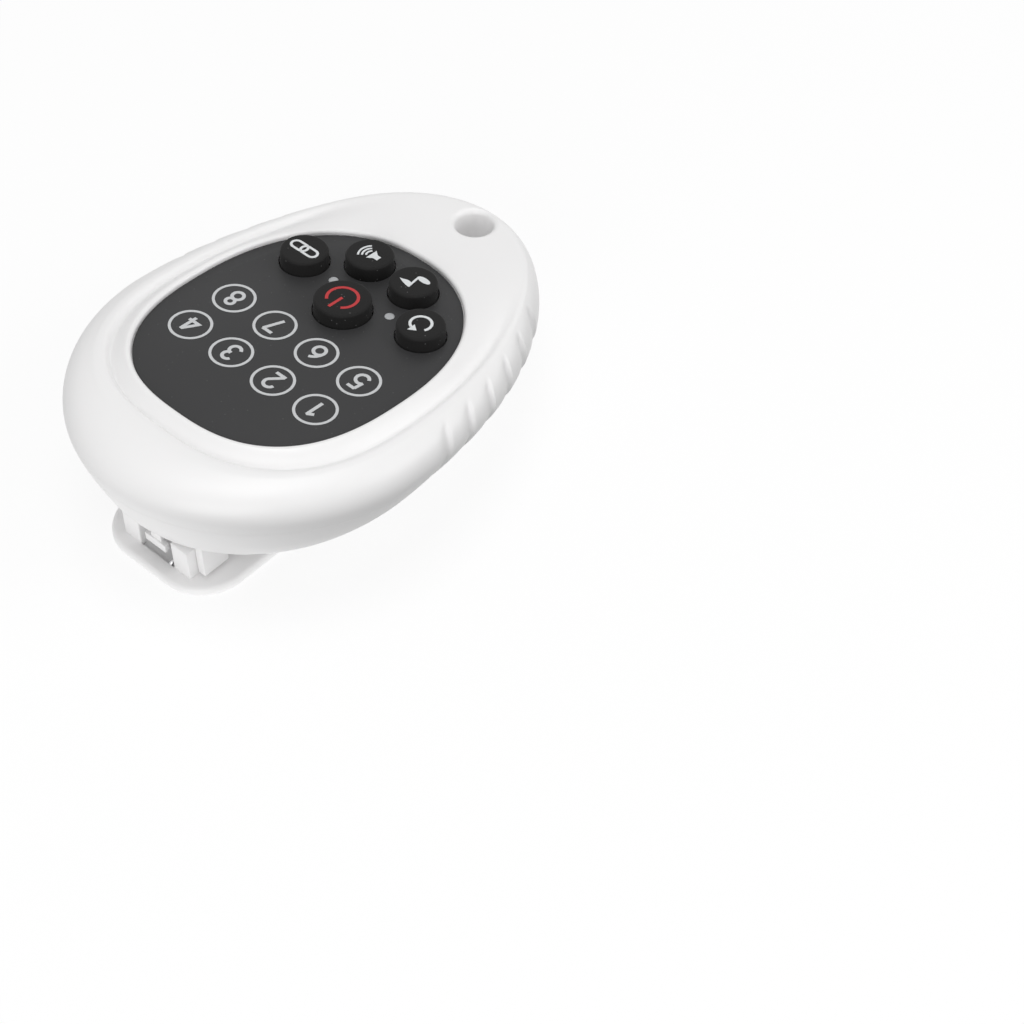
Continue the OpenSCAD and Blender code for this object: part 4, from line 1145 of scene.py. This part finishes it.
class PAGER_OT_spring(Operator):
    """Winds the clip's torsion spring as one wire"""

    bl_idname = "pager.spring"
    bl_label = "Clip spring"

    def execute(self, context):
        f = forms()
        c = f.c
        steps, leg_steps, sides = 160, 8, 12
        upper_l, upper_rise, lower_l, pocket_play = 3 * MM, 0.1 * MM, 4.5 * MM, 0.15 * MM
        half = c.coil_turns * c.coil_pitch / 2
        a = np.pi / 2 - np.linspace(0, c.coil_turns * TURN, steps)
        coil = np.column_stack([np.linspace(-half, half, steps), c.coil_r * np.cos(a), c.coil_r * np.sin(a)])
        u = np.linspace(1, 0, leg_steps)[:-1, None]
        drop = f.pin_z - c.plate_t + c.pocket - c.coil_r - c.wire_d / 2 - pocket_play
        upper = np.array([-half, 0, c.coil_r]) + u * np.array([0, -upper_l, upper_rise])
        lower = np.array([half, 0, -c.coil_r]) + u[::-1] * np.array([0, -lower_l, -drop])
        path = np.concatenate([upper, coil, lower])
        a = np.concatenate([np.full(len(upper), a[0]), a, np.full(len(lower), a[-1])])
        normal = np.column_stack([0 * a, np.cos(a), np.sin(a)])[:, None, :]
        phase = (np.arange(sides) * TURN / sides)[None, :, None]
        ring = np.cos(phase) * normal + np.sin(phase) * np.array([1, 0, 0])
        wire = path[:, None, :] + ring * c.wire_d / 2 + np.array([0, f.pin_y, f.pin_z])
        spring = onto_rear(f, skin("clip_coil", wire))
        spring.data.materials.append(steel_finish())
        spring.data.shade_smooth()
        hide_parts("clip_spring")
        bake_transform(spring)
        return {"FINISHED"}


class PAGER_OT_screws(Operator):
    """Turns the four case screws with their cross recesses"""

    bl_idname = "pager.screws"
    bl_label = "Case screws"

    def execute(self, context):
        f = forms()
        b = f.b
        long, narrow, deep = 1.4 * MM, 0.3 * MM, 0.7 * MM
        edge, point_l, point_r = 0.35 * MM, 1.2 * MM, 0.3 * MM
        screws = []
        for x, y, shank in f.screws:
            seat = seam_height(f, y) - shank
            low, end = seat - b.head_h, seat + shank + b.bite
            profile = [(b.head_r - edge, low), (b.head_r, low + edge), (b.head_r, seat), (b.screw_r, seat),
                       (b.screw_r, end - point_l), (point_r, end)]
            screw = lathe("screw", profile, (x, y), 40)
            cross = [block("cross", (x - i, y - j, low - OVER), (x + i, y + j, low + deep))
                     for i, j in ((long, narrow), (narrow, long))]
            screws.append(cut(screw, *cross))
        group = onto_rear(f, join("case_fasteners", screws))
        dress(group, steel_finish(), "housing", "steel", "case_screws")
        return {"FINISHED"}


class PAGER_OT_cells(Operator):
    """Turns the two cells with crimped ends and nubs"""

    bl_idname = "pager.cells"
    bl_label = "Cells"

    def execute(self, context):
        f = forms()
        b = f.b
        crimp, r = 0.5 * MM, b.cell_r
        start, end = -(b.cell_l + b.nub_l) / 2, (b.cell_l - b.nub_l) / 2
        tip, bevel = end + b.nub_l, crimp / 2
        profile = line((r - 2 * crimp, start), (r - crimp, start), (r, start + crimp), (r, end - crimp),
                       (r - crimp, end), (b.nub_r + crimp, end), (b.nub_r, end), (b.nub_r, tip - bevel),
                       (b.nub_r - bevel, tip))
        for name, side in (("a", 1), ("b", -1)):
            turned = profile * np.array([1, side])
            cell = rod(f"cell_sleeve_{name}", turned, -side * f.cell_pitch / 2, f.cell_z, 64)
            onto_rear(f, cell)
            dress(cell, cell_finish(), "housing", "cell", f"cell_{name}")
        return {"FINISHED"}


def nodes_of(tree):
    """A function that adds a node with its input values, and one that links two sockets."""
    def put(kind, **values):
        node = tree.nodes.new(kind)
        for key, value in values.items():
            if hasattr(node, key):
                setattr(node, key, value)
            else:
                node.inputs[key].default_value = value
        return node
    return put, tree.links.new


def new_group(name, inputs, outputs):
    """A shader group of plain values: its tree, and the nodes that hold its inputs and outputs."""
    tree = bpy.data.node_groups.new(name, "ShaderNodeTree")
    for key, value in inputs.items():
        socket = tree.interface.new_socket(key, in_out="INPUT", socket_type="NodeSocketFloat")
        socket.default_value = value
    for key in outputs:
        tree.interface.new_socket(key, in_out="OUTPUT", socket_type="NodeSocketFloat")
    return tree, tree.nodes.new("NodeGroupInput"), tree.nodes.new("NodeGroupOutput")


def grain_group():
    """Moulded grain: two noises on the object's coordinates give a height and a slow shade."""
    name = "moulded_grain"
    if name in bpy.data.node_groups:
        return bpy.data.node_groups[name]
    tree, ins, outs = new_group(name, {"Fine": 2600.0, "Slow": 60.0}, ("Height", "Shade"))
    put, link = nodes_of(tree)
    place = put("ShaderNodeTexCoord")
    fine, slow = put("ShaderNodeTexNoise", Detail=3.0), put("ShaderNodeTexNoise", Detail=2.0)
    for noise, key, target in ((fine, "Fine", "Height"), (slow, "Slow", "Shade")):
        link(place.outputs["Object"], noise.inputs["Vector"])
        link(ins.outputs[key], noise.inputs["Scale"])
        link(noise.outputs["Fac"], outs.inputs[target])
    return tree


def speck_group():
    """Fine dust: small dots in a share of the cells of a cell pattern."""
    name = "fine_dust"
    if name in bpy.data.node_groups:
        return bpy.data.node_groups[name]
    tree, ins, outs = new_group(name, {"Scale": 1100.0, "Size": 0.12, "Share": 0.3}, ("Mask",))
    put, link = nodes_of(tree)
    place, cells = put("ShaderNodeTexCoord"), put("ShaderNodeTexVoronoi")
    link(place.outputs["Object"], cells.inputs["Vector"])
    link(ins.outputs["Scale"], cells.inputs["Scale"])
    near = put("ShaderNodeMath", operation="LESS_THAN")
    link(cells.outputs["Distance"], near.inputs[0])
    link(ins.outputs["Size"], near.inputs[1])
    chosen = put("ShaderNodeMath", operation="LESS_THAN")
    split = put("ShaderNodeSeparateColor")
    link(cells.outputs["Color"], split.inputs["Color"])
    link(split.outputs["Red"], chosen.inputs[0])
    link(ins.outputs["Share"], chosen.inputs[1])
    both = put("ShaderNodeMath", operation="MULTIPLY")
    link(near.outputs[0], both.inputs[0])
    link(chosen.outputs[0], both.inputs[1])
    link(both.outputs[0], outs.inputs["Mask"])
    return tree


def finish(name, colour, roughness, depth=0.02, fine=2600.0, shade=0.06, metallic=0.0, dust=0.0, dusty=0.3,
           more=None):
    """A moulded surface: a base colour that drifts slowly, with roughness and bump that follow a fine grain.

    depth is the bump's height in millimetres, fine the scale of the grain and shade the share by which the
    colour drifts. dust is the paleness of the specks and dusty the share of the places that have one. more
    holds values for the shader's other sockets by their names."""
    if name in bpy.data.materials:
        return bpy.data.materials[name]
    rough_drift, bump_strength = 0.04, 0.35
    material = bpy.data.materials.new(name)
    material.use_nodes = True
    put, link = nodes_of(material.node_tree)
    surface = material.node_tree.nodes["Principled BSDF"]
    surface.inputs["Metallic"].default_value = metallic
    for key, value in (more or {}).items():
        surface.inputs[key].default_value = value
    grain = put("ShaderNodeGroup", node_tree=grain_group(), Fine=fine)
    mix = put("ShaderNodeMix", data_type="RGBA")
    mix.inputs["A"].default_value = (*[c * (1 - shade) for c in colour], 1)
    mix.inputs["B"].default_value = (*[min(1, c * (1 + shade)) for c in colour], 1)
    link(grain.outputs["Shade"], mix.inputs["Factor"])
    base = mix.outputs["Result"]
    if dust:
        specks = put("ShaderNodeGroup", node_tree=speck_group(), Share=dusty)
        pale = put("ShaderNodeMix", data_type="RGBA")
        pale.inputs["B"].default_value = (dust, dust, dust, 1)
        link(specks.outputs["Mask"], pale.inputs["Factor"])
        link(base, pale.inputs["A"])
        base = pale.outputs["Result"]
    link(base, surface.inputs["Base Color"])
    spread = put("ShaderNodeMapRange")
    spread.inputs["To Min"].default_value = roughness - rough_drift
    spread.inputs["To Max"].default_value = roughness + rough_drift
    link(grain.outputs["Height"], spread.inputs["Value"])
    link(spread.outputs["Result"], surface.inputs["Roughness"])
    bump = put("ShaderNodeBump", Strength=bump_strength, Distance=depth * MM)
    link(grain.outputs["Height"], bump.inputs["Height"])
    link(bump.outputs["Normal"], surface.inputs["Normal"])
    return material


def shell_finish():
    """White satin plastic."""
    return finish("white_plastic", sizes().colours.shell, 0.36, depth=0.008, fine=3200.0, shade=0.012,
                  more={"Specular IOR Level": 0.45})


def label_finish():
    """Dark grey matte foil."""
    return finish("label_foil", sizes().colours.label, 0.5, depth=0.01, fine=5200.0, shade=0.05, dust=0.06,
                  more={"Specular IOR Level": 0.28})


def ink_finish():
    """Light grey screen print."""
    return finish("number_ink", sizes().colours.ink, 0.5, depth=0.006, fine=4200.0, shade=0.04)


def rubber_finish():
    """Black silicone with a fine tooth and a little dust."""
    return finish("key_rubber", sizes().colours.rubber, 0.62, depth=0.05, fine=5200.0, shade=0.25, dust=0.1,
                  dusty=0.45, more={"Specular IOR Level": 0.1, "Sheen Weight": 0.04, "Sheen Roughness": 0.5})


def mark_finish():
    """White print on rubber."""
    return finish("key_ink", sizes().colours.mark, 0.55, depth=0.01, fine=4200.0, shade=0.05)


def power_ink_finish():
    """Red print on rubber."""
    return finish("power_ink", sizes().colours.power, 0.5, depth=0.01, fine=4200.0, shade=0.08)


def light_finish():
    """Cloudy clear plastic."""
    return finish("cloudy_window", sizes().colours.light, 0.3, depth=0.004, shade=0.05,
                  more={"Coat Weight": 0.3})


def steel_finish():
    """Plated steel."""
    return finish("plated_steel", STEEL, 0.3, depth=0.006, fine=1800.0, shade=0.08, metallic=1.0)


def cell_finish():
    """A plain cell sleeve."""
    return finish("cell_sleeve", (0.1, 0.2, 0.36), 0.32, depth=0.004, shade=0.06, metallic=0.6)


# Finish of the solids inside the housing: colour, roughness, metallic and the nodes that have it.
INNER = {
    "carbon_pill": ((0.02, 0.02, 0.02), 0.7, 0.0, [f"pill_{name}" for name in KEYS]),
    "rubber_mat": ((0.05, 0.055, 0.06), 0.75, 0.0, ["key_mat"]),
    "light_cells": ((0.78, 0.78, 0.74), 0.55, 0.0, ["light_guide"]),
    "solder_mask": ((0.015, 0.14, 0.05), 0.4, 0.0, ["circuit_board", "radio_module"]),
    "gold_pads": ((0.83, 0.62, 0.24), 0.3, 1.0, ["contact_pads"]),
    "clear_lamps": ((0.82, 0.82, 0.62), 0.2, 0.0, ["number_leds", "status_leds"]),
    "chip_body": ((0.03, 0.03, 0.03), 0.5, 0.0, ["main_chip"]),
    "wire_sleeve": ((0.75, 0.26, 0.04), 0.45, 0.0, ["antenna"]),
    "speaker_basket": ((0.1, 0.1, 0.1), 0.45, 0.6, ["speaker_frame"]),
    "paper_cone": ((0.035, 0.035, 0.035), 0.85, 0.0, ["speaker_cone"]),
    "bright_steel": (STEEL, 0.3, 1.0, ["speaker_magnet", "bridge_contact", "end_contacts", "board_screws"]),
}


class PAGER_OT_inner_finishes(Operator):
    """Gives each solid inside the housing its finish"""

    bl_idname = "pager.inner_finishes"
    bl_label = "Inner finishes"

    def execute(self, context):
        for name, (colour, roughness, metallic, nodes) in INNER.items():
            material = finish(name, colour, roughness, depth=0.01, metallic=metallic)
            for node in nodes:
                mesh = frame["nodes"][node].data
                mesh.materials.clear()
                mesh.materials.append(material)
        return {"FINISHED"}


def fade(tree, value, span, ends):
    """A smooth step from one end value to the other over a span."""
    put, link = nodes_of(tree)
    node = put("ShaderNodeMapRange", interpolation_type="SMOOTHSTEP")
    for name, number in zip(("From Min", "From Max", "To Min", "To Max"), (*span, *ends)):
        node.inputs[name].default_value = number
    link(value, node.inputs["Value"])
    return node.outputs["Result"]


def seen_rays(tree):
    """1 for rays from the camera, a mirror or glass, else 0."""
    put, link = nodes_of(tree)
    path = put("ShaderNodeLightPath")
    first, second = put("ShaderNodeMath", operation="MAXIMUM"), put("ShaderNodeMath", operation="MAXIMUM")
    link(path.outputs["Is Camera Ray"], first.inputs[0])
    link(path.outputs["Is Glossy Ray"], first.inputs[1])
    link(first.outputs[0], second.inputs[0])
    link(path.outputs["Is Transmission Ray"], second.inputs[1])
    return second.outputs[0]


def floor_finish(s):
    """A pale floor: white with a soft shadow where it is seen, and a light table that is dim at the sides."""
    material = bpy.data.materials.new("pale_floor")
    material.use_nodes = True
    tree = material.node_tree
    tree.nodes.remove(tree.nodes["Principled BSDF"])
    put, link = nodes_of(tree)
    place = put("ShaderNodeTexCoord")
    parts = put("ShaderNodeSeparateXYZ")
    link(place.outputs["Object"], parts.inputs[0])
    glow = put("ShaderNodeEmission")
    beside = put("ShaderNodeMath", operation="ABSOLUTE")
    link(parts.outputs["X"], beside.inputs[0])
    link(fade(tree, beside.outputs[0], GLOW_SPAN, (s.table, s.table_side)), glow.inputs["Strength"])
    matte = put("ShaderNodeBsdfDiffuse")
    matte.inputs["Color"].default_value = (FLOOR_TINT, FLOOR_TINT, FLOOR_TINT, 1)
    white = put("ShaderNodeEmission", Strength=1.0)
    ground, mix = put("ShaderNodeMixShader"), put("ShaderNodeMixShader")
    ground.inputs["Fac"].default_value = FLOOR_WHITE
    link(matte.outputs[0], ground.inputs[1])
    link(white.outputs[0], ground.inputs[2])
    link(seen_rays(tree), mix.inputs["Fac"])
    link(glow.outputs[0], mix.inputs[1])
    link(ground.outputs[0], mix.inputs[2])
    link(mix.outputs[0], tree.nodes["Material Output"].inputs["Surface"])
    return material


def lamp(name, place, power):
    """A square soft lamp that looks at the part."""
    data = bpy.data.lights.new(name, "AREA")
    data.size = LAMP_WIDTH
    data.energy = power
    obj = bpy.data.objects.new(name, data)
    bpy.context.scene.collection.objects.link(obj)
    obj.location = place
    obj.rotation_euler = (Vector(LAMP_AIM) - Vector(place)).to_track_quat("-Z", "Y").to_euler()


class PAGER_OT_studio(Operator):
    """Sets the floor, the soft lamps, the sky and the camera"""

    bl_idname = "pager.studio"
    bl_label = "Studio"

    def execute(self, context):
        s = sizes().studio
        scene = context.scene
        scene.view_settings.view_transform = "Standard"
        corners = [(-1, -1, 0), (1, -1, 0), (1, 1, 0), (-1, 1, 0)]
        floor = make("floor", FLOOR_HALF * np.array(corners), [[0, 1, 2, 3]])
        floor.data.materials.append(floor_finish(s))
        world = bpy.data.worlds.new("sky")
        world.use_nodes = True
        scene.world = world
        tree = world.node_tree
        light = tree.nodes["Background"]
        light.inputs["Color"].default_value = (1, 1, 1, 1)
        tree.links.new(fade(tree, seen_rays(tree), (0, 1), (s.sky, 1)), light.inputs["Strength"])
        lamp("key_lamp", (0, 0, 0.85), s.key)
        lamp("front_lamp", (0.28, -0.56, 0.28), s.front)
        lamp("side_lamp", (0.55, 0.4, 0.38), s.side)
        data = bpy.data.cameras.new("camera")
        data.sensor_width = SENSOR_MM
        data.lens = s.lens
        data.clip_start = 0.01
        camera = bpy.data.objects.new("camera", data)
        scene.collection.objects.link(camera)
        place = Vector(s.camera)
        look = (Vector(s.aim) - place).to_track_quat("-Z", "Y").to_matrix().to_4x4()
        camera.matrix_world = Matrix.Translation(place) @ look @ Matrix.Rotation(s.roll, 4, "Z")
        scene.camera = camera
        return {"FINISHED"}


PIECES = (
    PAGER_OT_front_shell, PAGER_OT_rear_cover, PAGER_OT_clip_bracket, PAGER_OT_battery_door,
    PAGER_OT_face_label, PAGER_OT_number_print, PAGER_OT_status_lights, PAGER_OT_keys, PAGER_OT_key_marks,
    PAGER_OT_clip, PAGER_OT_spring, PAGER_OT_screws, PAGER_OT_cells, PAGER_OT_inner_finishes, PAGER_OT_studio,
)


class PagerSettings(PropertyGroup):
    """All groups of sizes, colours and studio settings."""

    housing: PointerProperty(type=HousingSizes)
    grips: PointerProperty(type=GripSizes)
    face: PointerProperty(type=FaceSizes)
    keys: PointerProperty(type=KeySizes)
    clip: PointerProperty(type=ClipSizes)
    battery: PointerProperty(type=BatterySizes)
    colours: PointerProperty(type=PagerColours)
    studio: PointerProperty(type=StudioSettings)


class PAGER_PT_panel(Panel):
    """Lists the pager's pieces and colours."""

    bl_label = "Caregiver pager"
    bl_idname = "PAGER_PT_panel"
    bl_space_type = "VIEW_3D"
    bl_region_type = "UI"
    bl_category = "Pager"

    def draw(self, context):
        for piece in PIECES:
            self.layout.operator(piece.bl_idname)
        for name in PagerColours.__annotations__:
            self.layout.prop(context.scene.pager.colours, name)


CLASSES = (
    HousingSizes, GripSizes, FaceSizes, KeySizes, ClipSizes, BatterySizes, PagerColours, StudioSettings,
    PagerSettings, *PIECES, PAGER_PT_panel,
)


def register():
    """Registers the classes and hangs the settings on the scene."""
    for kind in CLASSES:
        bpy.utils.register_class(kind)
    bpy.types.Scene.pager = PointerProperty(type=PagerSettings)


def unregister():
    """Takes the settings and the classes away again."""
    del bpy.types.Scene.pager
    for kind in reversed(CLASSES):
        bpy.utils.unregister_class(kind)


def main():
    """Builds every piece in order."""
    register()
    for piece in PIECES:
        group, name = piece.bl_idname.split(".")
        getattr(getattr(bpy.ops, group), name)()


if __name__ == "__main__":
    main()
